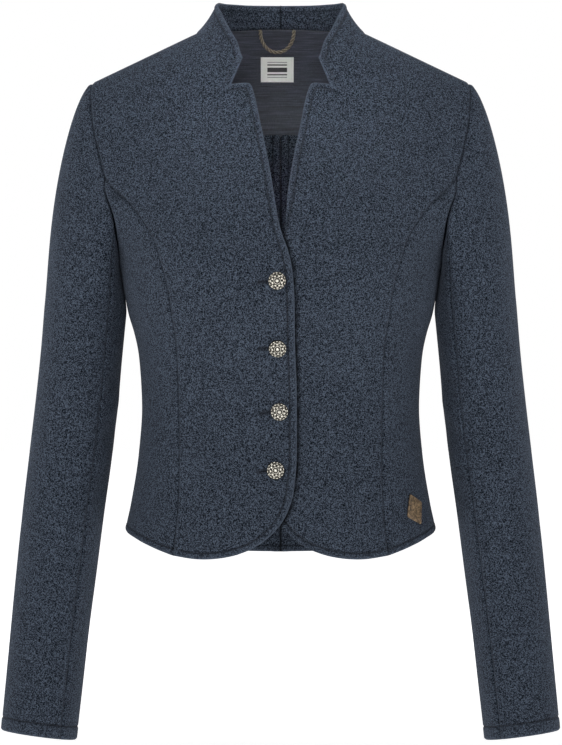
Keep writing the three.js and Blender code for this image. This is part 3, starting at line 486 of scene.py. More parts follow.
class Sheet:
    """A piece of cloth before it gets its thickness: points, triangles that face out, UVs."""

    def __init__(self, name, points, tris, uv, edge_lines, seam_lines, family="body"):
        self.name, self.family = name, family
        self.edge_lines, self.seam_lines = edge_lines, seam_lines
        _, first, inverse = np.unique(
            np.round(points, 3), axis=0, return_index=True, return_inverse=True)
        self.points, self.uv = points[first], uv[first]
        tris = inverse.reshape(-1)[tris]
        a, b, c = tris.T
        self.tris = tris[(a != b) & (b != c) & (c != a)]

    def mirrored(self, name):
        edges, seam_lines = ([line * MIRROR for line in lines]
                             for lines in (self.edge_lines, self.seam_lines))
        return Sheet(name, self.points * MIRROR, self.tris[:, ::-1], self.uv * (-1, 1), edges,
                     seam_lines, self.family)

    def joined(self, name, other):
        return Sheet(name, np.vstack([self.points, other.points]),
                     np.vstack([self.tris, other.tris + len(self.points)]),
                     np.vstack([self.uv, other.uv]), self.edge_lines + other.edge_lines,
                     self.seam_lines + other.seam_lines)

    def normals(self):
        a, b, c = (self.points[self.tris[:, k]] for k in range(3))
        n = np.cross(b - a, c - a)
        out = np.zeros_like(self.points)
        for k in range(3):
            np.add.at(out, self.tris[:, k], n)
        return unit(out)

    def border(self):
        """Directed border edges and, for each border point, the way into the cloth."""
        e = np.concatenate([self.tris[:, [0, 1]], self.tris[:, [1, 2]], self.tris[:, [2, 0]]])
        third = np.concatenate([self.tris[:, 2], self.tris[:, 0], self.tris[:, 1]])
        code, back = e[:, 0] * len(self.points) + e[:, 1], e[:, 1] * len(self.points) + e[:, 0]
        lone = ~np.isin(code, back)
        e, third = e[lone], third[lone]
        run = unit(self.points[e[:, 1]] - self.points[e[:, 0]])
        into = self.points[third] - self.points[e[:, 0]]
        into = unit(into - (into * run).sum(1)[:, None] * run)
        inward = np.zeros_like(self.points)
        for k in (0, 1):
            np.add.at(inward, e[:, k], into)
        return e, unit(inward)

    def measure(self):
        """Finds the outward directions, the border, and the direction of thickness."""
        self.out = self.normals()
        self.rim, self.into = self.border()
        self.on_border = np.unique(self.rim)
        self.thick = -self.out


def cloth_scale(outline):
    """True length of the cloth for one unit across and one down, at points of angle and way."""
    e = 0.05
    at = body(*outline.T)
    moved = (body(outline[:, 0] + e / ROUND, outline[:, 1]), body(outline[:, 0], outline[:, 1] + e))
    return np.column_stack([np.maximum(np.linalg.norm(m - at, axis=1) / e, 0.15) for m in moved])


def lattice(low, high, step):
    """Even rows of points, each row shifted by half a step from the one before."""
    tall = step * 0.866
    rows = []
    for i, y in enumerate(np.arange(low[1] + tall / 2, high[1], tall)):
        x = np.arange(low[0] + (i % 2) * step / 2, high[0], step)
        rows.append(np.column_stack([x, np.full(len(x), y)]))
    return np.concatenate(rows)


def net(outline, kinds, step, lines=()):
    """Fills a flat outline of the body with rows along its border and an even net inside."""
    ring = outline * (ROUND, 1)
    at = body(*outline.T)
    scale = cloth_scale(outline)
    ahead = np.roll(ring, -1, 0)
    turn = np.sign((ring[:, 0] * ahead[:, 1] - ahead[:, 0] * ring[:, 1]).sum())
    run = unit((ahead - ring) * scale)
    run = unit(run + np.roll(run, 1, 0))
    inward = turn * np.column_stack([-run[:, 1], run[:, 0]]) / scale
    closed = np.vstack([at, at[:1]])
    points = [ring]
    clear = np.zeros(len(ring))
    for kind, rows in (("edge", EDGE_ROWS), ("seam", SEAM_ROWS)):
        chosen = np.array([k == kind for k in kinds])
        clear[chosen] = rows[-1]
        for d in rows:
            row = ring[chosen] + d * inward[chosen]
            off = distance(body(row[:, 0] / ROUND, np.maximum(row[:, 1], 0)), [closed])
            points.append(row[(off > 0.8 * d) & (row[:, 1] > 0)])
    points += [line * (ROUND, 1) for line in lines]
    inner = lattice(ring.min(0), ring.max(0), step)
    where = body(inner[:, 0] / ROUND, inner[:, 1])
    keep = np.ones(len(inner), bool)
    for reach in np.unique(clear):
        runs = [closed[[i, i + 1]] for i in np.flatnonzero(clear == reach)]
        keep &= distance(where, runs) > reach + 0.55 * step
    for line in lines:
        keep &= distance(where, [body(*line.T)]) > 0.6 * step
    points = np.concatenate([*points, inner[keep]])
    made = delaunay_2d_cdt([Vector(p) for p in points], [], [list(range(len(ring)))], 1, 1e-7)
    flat = np.array([tuple(v) for v in made[0]])
    tris = np.array([f for f in made[2] if len(f) == 3])
    a, b, c = (flat[tris[:, k]] for k in range(3))
    area = (b[:, 0] - a[:, 0]) * (c[:, 1] - a[:, 1]) - (c[:, 0] - a[:, 0]) * (b[:, 1] - a[:, 1])
    tris[area > 0] = tris[area > 0][:, ::-1]  # outwards is clockwise in angle and way
    return flat, tris[np.abs(area) > 1e-6]


def outline_of(s, names):
    """Joins seams into one outline: - runs backwards, * is an open edge, + is joined on later."""
    ring, kinds = [], []
    for name in names:
        kind = "edge" if "*" in name else "weld" if "+" in name else "seam"
        line = s[name.strip("-*+")]
        line = line[::-1] if "-" in name else line
        ring.append(line[:-1])
        kinds += [kind] * (len(line) - 1)
    return np.concatenate(ring), kinds


def body_sheet(name, s, names, step, lines=()):
    outline, kinds = outline_of(s, names)
    flat, tris = net(outline, kinds, step, lines)
    drawn = {part: body(*s[part.strip("-*+")].T) for part in names}
    return Sheet(name, body(flat[:, 0] / ROUND, flat[:, 1]), tris, flat * MM,
                 [line for part, line in drawn.items() if "*" in part],
                 [line for part, line in drawn.items() if "*" not in part and "+" not in part])


def collar(share, up, foot):
    """Half of the grown-on collar: it stands on the neck line and leans in to its top edge."""
    top = np.stack([curve(COLLAR_TOP, c, share) for c in (1, 2, 3)], -1)
    t = up * (1 - 0.16 * (1 - smooth(0, 0.1, share)))
    line = foot + (top - foot) * t[..., None]
    hollow = COLLAR_HOLLOW * np.sin(PI * np.minimum(t, 1)) * smooth(0, 0.2, share)
    return line - unit(line * (1, 1, 0)) * hollow[..., None]


def neck_line(s):
    """Points of the neck line from notch to centre back, with their share of the way round."""
    front, back = s["neck_front"], s["neck_back"]
    foot = np.vstack([body(*front.T), body(*back[1:].T)])
    near, far = lengths(body(*front.T)), lengths(body(*back.T))
    share = np.concatenate([0.5 * near / near[-1], 0.5 + 0.5 * far[1:] / far[-1]])
    flat = np.vstack([front, back[1:]]) * (ROUND, 1)
    return foot, share, flat


def grid_tris(rows, columns):
    r, c = np.meshgrid(np.arange(rows - 1), np.arange(columns - 1), indexing="ij")
    a = (r * columns + c).ravel()
    b, d, e = a + 1, a + columns + 1, a + columns
    return np.concatenate([np.column_stack([a, b, d]), np.column_stack([a, d, e])])


def collar_sheet(name, s, step):
    foot, share, flat = neck_line(s)
    ups = 1 - spread(COLLAR_HIGH, step, dense_start=EDGE_ROWS)[::-1] / COLLAR_HIGH
    share_grid, up_grid = np.meshgrid(share, ups)
    points = collar(share_grid, up_grid, foot[None])
    uv = np.stack([np.broadcast_to(flat[:, 0], share_grid.shape),
                   flat[:, 1] - up_grid * COLLAR_HIGH], -1)
    return Sheet(name, points.reshape(-1, 3), grid_tris(len(ups), len(share)),
                 uv.reshape(-1, 2) * MM, [points[-1], points[:, 0]], [points[:, -1]])


@functools.cache
def arm_loop(step):
    """The armhole from the shoulder point down the front, up the back, with turns of girth."""
    s = seams(step)
    front = np.vstack([s["arm_upper"], s["arm_lower"][1:]])
    down, up = body(*front.T), body(*s["arm_back"][::-1].T)
    near, far = lengths(down), lengths(up)
    turns = np.concatenate([PI * near / near[-1], PI + PI * far[1:] / far[-1]])
    return np.vstack([down, up[1:]]), turns


def sleeve_ring(z, turn):
    x, y, wide, deep = (curve(SLEEVE, c, z) for c in (1, 2, 3, 4))
    out, low = wide * np.cos(turn), smooth(SLEEVE_TOP, SLEEVE_END, z)
    ahead = deep * np.sin(turn) * (1 + 0.06 * np.cos(turn) ** 2)
    return np.stack([x + out, y - ahead,
                     z + out * (SLEEVE_TILT + CUFF_TILT * low) + ahead * CUFF_PITCH * low], -1)


def sleeve(start, turn, down):
    """Outer face of a sleeve: down is 0 at the armhole, 1 at the biceps, 2 at the cuff."""
    end = sleeve_ring(np.full_like(turn, SLEEVE_TOP), turn)
    below = sleeve_ring(SLEEVE_TOP + (SLEEVE_END - SLEEVE_TOP) * np.clip(down - 1, 0, 1), turn)
    long = np.linalg.norm(end - start, axis=-1, keepdims=True)
    t = (np.clip(down, 0, 1) ** 1.25)[..., None]
    out = ((1 + np.cos(turn)) / 2)[..., None]
    away = unit(np.concatenate([0.95 * out, -0.12 * np.sin(turn)[..., None],
                                -0.42 - 0.58 * (1 - out)], -1)) * long * (
        0.28 + 0.5 * (1 - out) + 0.08 * out ** 3)
    fall = np.array([SLEEVE_TILT, 0, -1]) * long * (0.95 - 0.1 * out)
    cap = bend(t, start, away, end, fall)
    cap[..., :1] += CAP_SWELL * out ** 2 * np.sin(PI * t ** 1.3) ** 2
    return np.where((down > 1)[..., None], below, cap)


def sleeve_sheet(name, first, last, step, edge_step):
    """One piece of the two-piece sleeve between two turns of girth."""
    loop, turns = arm_loop(edge_step)
    wide = (last - first) / (2 * PI) * SLEEVE_GIRTH
    across = spread(wide, step, dense_start=SEAM_ROWS, dense_end=SEAM_ROWS)
    columns = first + (last - first) * across / wide
    start = np.stack([np.interp(columns % (2 * PI), turns, loop[:, k]) for k in range(3)], -1)
    cap = spread(CAP_LONG, step, dense_start=SEAM_ROWS) / CAP_LONG
    cuff = bpy.context.scene.cardigan_cloth.cuff_topstitch / MM
    long = SLEEVE_TOP - SLEEVE_END
    near = EDGE_ROWS[:4] + tuple(cuff + d for d in (-2.4, -1.2, -0.6, 0, 0.6, 1.2, 2.4))
    lower = 1 + spread(long, step, dense_end=near) / long
    downs = np.concatenate([cap, lower[1:]])[::-1]
    turn_grid, down_grid = np.meshgrid(columns, downs)
    points = sleeve(np.broadcast_to(start, turn_grid.shape + (3,)), turn_grid, down_grid)
    uv = np.stack([turn_grid, down_grid], -1) * SLEEVE_UV
    return Sheet(name, points.reshape(-1, 3), grid_tris(*turn_grid.shape)[:, ::-1],
                 uv.reshape(-1, 2) * MM, [points[0]], [points[:, 0], points[:, -1], points[-1]],
                 "sleeve")


def corner_key(point):
    """Points of different pieces that meet at a seam have the same key."""
    return tuple(np.round(point * 5).astype(int))


def share_seams(sheets):
    """Turns the border of each sheet to one direction of thickness with its neighbours."""
    meeting = {}
    for sheet in sheets:
        sheet.measure()
        for i in sheet.on_border:
            met = meeting.setdefault(corner_key(sheet.points[i]), {"body": [], "sleeve": []})
            met[sheet.family].append(sheet.out[i])
    for sheet in sheets:
        for i in sheet.on_border:
            at = meeting[corner_key(sheet.points[i])]
            own = unit(np.sum(at[sheet.family], 0))
            other = at["sleeve" if sheet.family == "body" else "body"]
            mates = list(at[sheet.family])
            if other and own @ unit(np.sum(other, 0)) > 0.25:
                mates += other
            shared = unit(np.sum(mates, 0))
            sheet.out[i] = shared
            sheet.thick[i] = -shared / max(min(float(n @ shared) for n in mates), 0.6)


def lay_under(lap):
    """Moves the left front's edge behind the right front where they overlap."""
    x, z = lap.points[:, 0], lap.points[:, 2]
    share = smooth(44, 20, x) * smooth(-150, -186, z)
    lap.points = lap.points - lap.out * (UNDERLAP * share)[:, None]
    lap.points[:, 0] += V_SHIFT * smooth(40, 5, x) * bell(z, 28, -203)


def buttonhole_line(x, z, at, off):
    """Angle and way of places along a buttonhole, at a height over its line."""
    fall = BUTTONHOLE["fall"] * (x - BUTTONHOLE["inner"] - at) / BUTTONHOLE["run"]
    return locate(-at, z - fall + off, True)


@functools.cache
def wool_sheets():
    """All ten wool pieces, with the direction of thickness that they share at their seams."""
    cloth = bpy.context.scene.cardigan_cloth
    step, edge_step = cloth.mesh_step / MM, cloth.edge_step / MM
    s = seams(edge_step)
    holes = [buttonhole_line(
        x, z, np.linspace(x - BUTTONHOLE["outer"], x - BUTTONHOLE["inner"], 15), off)
        for x, z in BUTTONS for off in (-2.2, -1.1, -0.5, 0, 0.5, 1.1, 2.2)]
    allowances = [locate(np.full(150, ALLOWANCE + off), np.linspace(-14, -478, 150), False)
                  for off in (-0.5, 0.5, 1.5)]
    front = body_sheet("front_left", s, [
        "neck_front+", "shoulder_front", "arm_upper", "princess", "-front_hem*", "-edge*",
        "-lapel*"], step, holes).joined("front_left", collar_sheet("collar", s, edge_step))
    left = [
        front,
        body_sheet("side_front_left", s, ["arm_lower", "side", "-side_hem*", "-princess"], step),
        body_sheet("back_left", s, [
            "neck_back", "centre_back", "-back_hem*", "-side", "-arm_back", "-shoulder_back"],
            step, allowances),
        sleeve_sheet("sleeve_top_left", BACK_SEAM_TURN - 2 * PI, FRONT_SEAM_TURN, step, edge_step),
        sleeve_sheet("sleeve_under_left", FRONT_SEAM_TURN, BACK_SEAM_TURN, step, edge_step),
    ]
    sheets = []
    for sheet in left:
        sheets += [sheet.mirrored(sheet.name.replace("left", "right")), sheet]
    share_seams(sheets)
    lay_under(front)
    for sheet in sheets:
        sheet.outer, sheet.inner, sheet.dark, sheet.lit = relief(sheet)
    return {sheet.name: sheet for sheet in sheets}


def crease(flat, rows):
    """Soft troughs and ridges: each is deepest along its middle and runs out at both ends."""
    out = np.zeros(len(flat))
    for *ends, wide, high in rows:
        a, b = np.array(ends, float).reshape(2, 2)
        run = b - a
        t = ((flat - a) @ run) / (run @ run)
        off = np.linalg.norm(flat - a - np.clip(t, 0, 1)[:, None] * run, axis=1)
        taper = np.sin(PI * np.clip(t * 0.9 + 0.05, 0, 1)) ** 0.8
        out += high * taper * bell(off, wide)
    return out


def creases_of(sheet):
    """Height of the soft creases over a sheet, read on its left-hand twin."""
    near = sheet.points * (np.sign(sheet.points[:, :1].mean()) or 1, 1, 1)
    if sheet.family == "body":
        is_back = "back" in sheet.name
        return crease(near[:, [0, 2]], [
            (*ends, wide, high) for *ends, ahead, wide, high in BODY_CREASES if ahead != is_back])
    x, y = (near[:, k] - curve(SLEEVE, k + 1, near[:, 2]) for k in (0, 1))
    girth = np.degrees(np.arctan2(-y, x)) % 360 * GIRTH_OF_DEGREE
    return crease(np.column_stack([girth, near[:, 2]]), [
        (t0 * GIRTH_OF_DEGREE, z0, t1 * GIRTH_OF_DEGREE, z1, wide, high)
        for t0, z0, t1, z1, wide, high in SLEEVE_CREASES])


def stitch_inset(sheet, points):
    """Distance of the topstitching from the edge: most at the cuff, a little more at the closure."""
    cloth = bpy.context.scene.cardigan_cloth
    if sheet.family == "sleeve":
        return np.full(len(points), cloth.cuff_topstitch / MM)
    x, z = np.abs(points[:, 0]), points[:, 2]
    closure = smooth(-185, -235, z) * smooth(-474, -440, z) * smooth(60, 30, x)
    return (cloth.collar_topstitch + (cloth.topstitch - cloth.collar_topstitch) * closure) / MM


def relief(sheet):
    """How far both faces stand out, and their painted shade and painted highlights at seams and
    edges.
    """
    p = sheet.points
    x, z = np.abs(p[:, 0]), p[:, 2]
    to_edge, to_seam = distance(p, sheet.edge_lines), distance(p, sheet.seam_lines)
    line = stitch_inset(sheet, p)
    both = creases_of(sheet) * smooth(0, 14, np.minimum(to_edge, to_seam))
    lip = EDGE_ROUND * WOOL * bell(to_edge, 0.9)
    groove = SEAM_GROOVE * bell(to_seam, 1.25) - 0.3 * bell(to_seam, 2.0, 4.2)
    swell = EDGE_SWELL * smooth(line, line - 2.5, to_edge) * smooth(0, 1.5, to_edge)
    outer = both - lip - groove - STITCH_GROOVE * bell(to_edge, 0.8, line) + swell
    inner = both + lip
    # painted shade at the seams and along the lines of stitches
    dark = SEAM_PAINTED_SHADE * bell(to_seam, 0.8) + STITCH_PAINTED_SHADE * bell(to_edge, 0.9, line)
    # painted highlight on the edges and on the swelling up to the stitches
    lit = EDGE_PAINTED_HIGHLIGHT * bell(to_edge, 1.0) + BAND_PAINTED_HIGHLIGHT * smooth(line, line - 1.5, to_edge)
    # the inner face starts with the same painted shade
    inside = dark.copy()
    if "back" in sheet.name:  # pressed-open allowances of the centre back seam
        below = z < 4
        open_flat = smooth(ALLOWANCE + 0.4, ALLOWANCE - 0.4, x)
        inner = inner - (ALLOWANCE_STEP * open_flat - 1.0 * bell(x, 0.9)) * below
        # painted shade along the edges of the allowances and at the seam
        inside += ALLOWANCE_PAINTED_SHADE * (bell(x, 0.8, ALLOWANCE + 0.5) + bell(x, 1.1)) * below
    if "front" in sheet.name:  # the collar's centre back seam
        # painted shade along the collar's seam on the inside
        inside += COLLAR_SEAM_PAINTED_SHADE * bell(x, 1.1) * (z > 5)
    if sheet.name == "front_right":
        for hole_x, hole_z in BUTTONS:
            slit = [[hole_x - BUTTONHOLE["outer"], hole_z - BUTTONHOLE["fall"]],
                    [hole_x - BUTTONHOLE["inner"], hole_z]]
            off = distance(p[:, [0, 2]], [np.array(slit)])
            outer = outer - SLIT * bell(off, 0.55) + SLIT_LIPS * bell(off, 0.7, 1.5)
            # painted shade in the slit
            dark = dark + SLIT_PAINTED_SHADE * bell(off, 0.7)
    if sheet.name == "front_left":  # the right front's edge lies on it; beside that edge runs a painted shadow
        beyond = distance(p[:, [0, 2]], [np.array(FRONT_EDGE, float) * (-1, 1)])
        dark = dark + CLOSURE_PAINTED_SHADOW * bell(beyond, 1.6, 0.9) * smooth(-186, -200, z)
    # painted shade of the outer face, then of the inner face, and the painted highlight on both
    shades = np.concatenate([dark, inside]), np.tile(lit, 2)
    return outer, inner, *(np.clip(shade, 0, 1) for shade in shades)


def linked(name, mesh):
    obj = bpy.data.objects.new(name, mesh)
    bpy.context.collection.objects.link(obj)
    return obj


def mesh_object(name, points, faces, uv=None, attributes=()):
    """A smooth-shaded mesh from millimetres, with its own UV map and shades."""
    mesh = bpy.data.meshes.new(name)
    mesh.from_pydata((np.asarray(points) * MM).tolist(), [],
                     faces.tolist() if isinstance(faces, np.ndarray) else faces)
    if uv is not None:
        layer = mesh.uv_layers.new(name="Cloth")
        index = np.empty(len(mesh.loops), int)
        mesh.loops.foreach_get("vertex_index", index)
        layer.data.foreach_set("uv", uv[index].ravel())
    for key, values in attributes:
        mesh.attributes.new(key, "FLOAT", "POINT").data.foreach_set("value", values)
    mesh.polygons.foreach_set("use_smooth", np.ones(len(mesh.polygons), bool))
    mesh.update()
    return linked(name, mesh)


def tube_faces(rings, around, first=0):
    """Faces between rings of points that follow one another from a first point on."""
    return [(first + k * around + j, first + k * around + (j + 1) % around,
             first + (k + 1) * around + (j + 1) % around, first + (k + 1) * around + j)
            for k in range(rings - 1) for j in range(around)]


def fan_faces(tip, first, around):
    """Faces that close a ring of points onto one tip."""
    return [(tip, first + (j + 1) % around, first + j) for j in range(around)]


def facing_out(obj):
    bm = bmesh.new()
    bm.from_mesh(obj.data)
    bmesh.ops.recalc_face_normals(bm, faces=bm.faces)
    bm.to_mesh(obj.data)
    bm.free()
    return obj


def shell(sheet, name, thickness, off=0.0, gap=TOUCH):
    """Closes a sheet into a thin solid and pulls its border back from its neighbours."""
    base = sheet.points.copy()
    base[sheet.on_border] += sheet.into[sheet.on_border] * gap / 2
    top = base + sheet.out * sheet.outer[:, None] + sheet.thick * off
    low = base + sheet.out * sheet.inner[:, None] + sheet.thick * (thickness + off)
    n = len(base)
    a, b = sheet.rim.T
    sides = np.concatenate([np.column_stack([b, a, a + n]), np.column_stack([b, a + n, b + n])])
    faces = np.concatenate([sheet.tris, sheet.tris[:, ::-1] + n, sides])
    # the painted shade and painted highlight of the wool go onto the mesh as attributes
    shades = [(key, getattr(sheet, key)) for key in ("dark", "lit")]
    return mesh_object(name, np.vstack([top, low]), faces, np.vstack([sheet.uv, sheet.uv]), shades)


def painted(obj, material):
    obj.data.materials.clear()
    obj.data.materials.append(material)
    return obj


def finished(obj, slot, *nodes):
    """Hangs a piece under the root and hides the model's parts that it stands for."""
    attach(obj, "root")
    if nodes:
        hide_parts(*nodes)
    return obj


class Nodes:
    """Short way to build a node tree."""

    def __init__(self, tree):
        self.tree = tree
        tree.nodes.clear()

    def add(self, kind, inputs=None, **settings):
        node = self.tree.nodes.new(kind)
        for key, value in settings.items():
            setattr(node, key, value)
        for key, value in (inputs or {}).items():
            if isinstance(value, bpy.types.NodeSocket):
                self.tree.links.new(value, node.inputs[key])
            else:
                node.inputs[key].default_value = value
        return node

    def place(self):
        return self.add("ShaderNodeTexCoord").outputs["Object"]

    def shade(self, name):
        return self.add("ShaderNodeAttribute", attribute_name=name).outputs["Fac"]

    def stretched(self, vector, scale):
        return self.add("ShaderNodeMapping", {"Vector": vector, "Scale": scale}).outputs[0]

    def ramp(self, factor, *stops):
        node = self.add("ShaderNodeValToRGB", {"Fac": factor})
        while len(node.color_ramp.elements) < len(stops):
            node.color_ramp.elements.new(0.5)
        for element, (place, colour) in zip(node.color_ramp.elements, stops):
            element.position, element.color = place, (*colour, 1)
        return node.outputs["Color"]

    def noise(self, vector, scale, detail=2.0, rough=0.5, distortion=0.0):
        return self.add("ShaderNodeTexNoise", {
            "Vector": vector, "Scale": scale, "Detail": detail, "Roughness": rough,
            "Distortion": distortion}).outputs["Fac"]

    def maths(self, operation, *values):
        return self.add("ShaderNodeMath", dict(enumerate(values)), operation=operation).outputs[0]

    def centred(self, value):
        return self.maths("SUBTRACT", value, 0.5)

    def mix(self, factor, a, b):
        return self.add("ShaderNodeMix", {0: factor, 6: a, 7: b}, data_type="RGBA").outputs[2]

    def bump(self, height, strength, distance_m, **normal):
        return self.add("ShaderNodeBump", {
            "Height": height, "Strength": strength, "Distance": distance_m, **normal,
        }).outputs["Normal"]

    def surface(self, colour, roughness, **inputs):
        shader = self.add("ShaderNodeBsdfPrincipled", {
            "Base Color": colour, "Roughness": roughness,
            **{key.replace("_", " "): value for key, value in inputs.items()}})
        self.add("ShaderNodeOutputMaterial", {"Surface": shader.outputs["BSDF"]})


def new_material(name):
    material = bpy.data.materials.new(name)
    material.use_nodes = True
    return material, Nodes(material.node_tree)


def times(colour, factor):
    return tuple(factor * c for c in colour)


@functools.cache
def wool_material():
    """Boiled wool: heathered fibres felted into short curls, matt, with a soft nap."""
    cloth = bpy.context.scene.cardigan_cloth
    material, nodes = new_material("Boiled wool")
    place = nodes.place()
    curls = nodes.noise(place, 950, 2, 0.55, 0.8)
    fibres = nodes.noise(place, 1800, 2, 0.6, 0.6)
    clouds, patches = nodes.noise(place, 120), nodes.noise(place, 14)
    grain = nodes.maths("MULTIPLY_ADD", curls, 0.62, nodes.maths("MULTIPLY", fibres, 0.38))
    grain = nodes.maths("MULTIPLY_ADD", nodes.centred(clouds), 0.02, grain)
    grain = nodes.maths("MULTIPLY_ADD", nodes.centred(patches), 0.012, grain)
    dark, mid, light = (tuple(c) for c in (cloth.wool_dark, cloth.wool_mid, cloth.wool_light))
    halfway = tuple(0.5 * (a + b) for a, b in zip(mid, light))
    colour = nodes.ramp(grain, (0.455, dark), (0.490, mid), (0.522, halfway),
                        (0.552, times(light, 1.02)))
    # the wool's painted highlight and painted shade, read from the mesh
    edges, seam = nodes.shade("lit"), nodes.shade("dark")
    # painted highlight: the colour lightens towards the light fibres on edges and up to the stitches
    colour = nodes.mix(nodes.maths("MULTIPLY", edges, 0.55), colour, (*light, 1))
    # painted shade: the colour darkens at seams, stitches and slits, beside the right front's edge,
    # and inside at the allowances and the collar's seam
    colour = nodes.mix(nodes.maths("MULTIPLY", seam, 0.97), colour, (*times(dark, 0.3), 1))
    nap = nodes.bump(fibres, 0.35, 0.0004, Normal=nodes.bump(curls, 0.75, 0.0009))
    nodes.surface(colour, 0.95, Normal=nap, Specular_IOR_Level=0.15, Sheen_Weight=0.12,
                  Sheen_Roughness=0.5, Sheen_Tint=(0.55, 0.65, 0.85, 1))
    return material


@functools.cache
def thread_material():
    material, nodes = new_material("Sewing thread")
    twist = nodes.noise(nodes.place(), 2500, 1)
    dark = tuple(bpy.context.scene.cardigan_cloth.thread)
    colour = nodes.ramp(twist, (0.35, dark), (0.7, times(dark, 2.2)))
    nodes.surface(colour, 0.7, Normal=nodes.bump(twist, 0.3, 0.0002))
    return material


@functools.cache
def lining_material():
    """Viscose lining with slubs across and a fine rib."""
    material, nodes = new_material("Slubbed lining")
    place = nodes.place()
    slubs = nodes.noise(nodes.stretched(place, (45, 45, 1100)), 1.0, 3, 0.6)
    threads = nodes.noise(nodes.stretched(place, (1600, 1600, 60)), 1.0)
    weave = nodes.maths("ADD", nodes.maths("MULTIPLY", slubs, 0.7),
                        nodes.maths("MULTIPLY", threads, 0.3))
    ground = tuple(bpy.context.scene.cardigan_trim.lining)
    colour = nodes.ramp(weave, (0.36, times(ground, 0.5)), (0.52, ground),
                        (0.68, times(ground, 1.9)))
    nodes.surface(colour, 0.55, Normal=nodes.bump(weave, 0.35, 0.0003), Specular_IOR_Level=0.4,
                  Sheen_Weight=0.1)
    return material


@functools.cache
def cord_material():
    material, nodes = new_material("Twisted cord")
    fibres = nodes.noise(nodes.place(), 1400, 3)
    colour = tuple(bpy.context.scene.cardigan_trim.cord)
    shade = nodes.ramp(fibres, (0.35, times(colour, 0.5)), (0.65, times(colour, 1.35)))
    # painted shade: the colour darkens in the grooves between the strands, where recess is low
    shade = nodes.mix(nodes.shade("recess"), (*times(colour, 0.25), 1), shade)
    nodes.surface(shade, 0.75, Normal=nodes.bump(fibres, 0.4, 0.0003))
    return material


@functools.cache
def label_material():
    """Woven tape with a lighter border and plain charcoal stripes across its middle."""
    material, nodes = new_material("Woven label")
    uv = nodes.add("ShaderNodeUVMap", uv_map="Cloth").outputs["UV"]
    split = nodes.add("ShaderNodeSeparateXYZ", {"Vector": uv})
    weave = nodes.noise(nodes.stretched(nodes.place(), (2400, 300, 2400)), 1.0)
    tape = nodes.ramp(weave, (0.3, (0.84, 0.84, 0.81)), (0.7, (0.93, 0.93, 0.90)))
    wide, high = (nodes.maths("ABSOLUTE", nodes.centred(split.outputs[axis])) for axis in "XY")
    rim = nodes.maths("MAXIMUM", nodes.maths("GREATER_THAN", wide, 0.46),
                      nodes.maths("GREATER_THAN", high, 0.44))
    colour = nodes.mix(rim, tape, (0.95, 0.95, 0.93, 1))
    in_reach = nodes.maths("LESS_THAN", wide, 0.30)
    for low, top in ((-0.01, 0.09), (0.17, 0.22), (0.29, 0.31)):
        band = nodes.maths("MULTIPLY", nodes.maths("GREATER_THAN", high, low),
                           nodes.maths("LESS_THAN", high, top))
        colour = nodes.mix(nodes.maths("MULTIPLY", band, in_reach), colour,
                           (0.050, 0.048, 0.052, 1))
    nodes.surface(colour, 0.8, Normal=nodes.bump(weave, 0.3, 0.0002))
    return material


@functools.cache
def leather_material():
    material, nodes = new_material("Leather")
    place = nodes.place()
    pores = nodes.add("ShaderNodeTexVoronoi", {"Vector": place, "Scale": 900.0}).outputs["Distance"]
    colour = tuple(bpy.context.scene.cardigan_trim.leather)
    shade = nodes.ramp(nodes.noise(place, 420, 4, 0.65), (0.38, times(colour, 0.35)),
                       (0.5, colour), (0.62, times(colour, 2.0)))
    nodes.surface(shade, 0.5, Normal=nodes.bump(pores, 0.35, 0.0004), Specular_IOR_Level=0.4)
    return material


@functools.cache
def silver_material():
    """Antique silver: bright on the raised work, dark in the recesses."""
    trim = bpy.context.scene.cardigan_trim
    material, nodes = new_material("Antique silver")
    wear = nodes.noise(nodes.place(), 900, 3)
    worn = nodes.maths("ADD", nodes.shade("recess"),
                       nodes.maths("MULTIPLY", nodes.centred(wear), 0.9))
    colour = nodes.ramp(worn, (0.2, times(trim.tarnish, 0.7)), (0.45, times(trim.silver, 0.4)),
                        (0.66, tuple(trim.silver)))
    nodes.surface(colour, 0.34, Normal=nodes.bump(wear, 0.12, 0.0002), Metallic=0.92)
    return material


def sew(family, name_nodes):
    """Makes the wool pieces of one family."""
    for name, sheet in wool_sheets().items():
        if sheet.family != family:
            continue
        kind, side = name.rsplit("_", 1)
        obj = painted(shell(sheet, f"{name}_cloth", WOOL), wool_material())
        finished(obj, "boiled_wool", *name_nodes(kind, side))
        width, length, area = CUTS[kind]


class CARDIGAN_OT_body(bpy.types.Operator):
    """Fronts with their collar, side fronts and backs, each a thin shell of wool"""

    bl_idname = "cardigan.body"
    bl_label = "Body"

    def execute(self, context):
        sew("body", lambda kind, side: [f"{kind}_{side}"])
        return {"FINISHED"}


class CARDIGAN_OT_sleeves(bpy.types.Operator):
    """Both two-piece sleeves"""

    bl_idname = "cardigan.sleeves"
    bl_label = "Sleeves"

    def execute(self, context):
        sew("sleeve", lambda kind, side: [f"{kind}_upper_{side}", f"{kind}_lower_{side}"])
        return {"FINISHED"}


def yoke_sheet():
    """The back neck lining: the back's cloth from the neck seam down to the yoke's hem."""
    s = dict(seams(3.2))
    hem = path(YOKE_HEM, False, 3.0)
    end = np.abs(s["shoulder_back"][:, 0] - hem[0, 0]).argmin()
    foot = np.abs(s["centre_back"][:, 1] - hem[-1, 1]).argmin()
    hem[0], hem[-1] = s["shoulder_back"][end], s["centre_back"][foot]
    s["yoke_shoulder"], s["yoke_back"] = s["shoulder_back"][:end + 1], s["centre_back"][:foot + 1]
    s["yoke_hem"] = hem
    half = body_sheet("yoke", s, ["neck_back", "yoke_back+", "-yoke_hem*", "-yoke_shoulder"], 3.6)
    sheet = half.joined("back_neck_lining", half.mirrored("other"))
    sheet.measure()
    return sheet


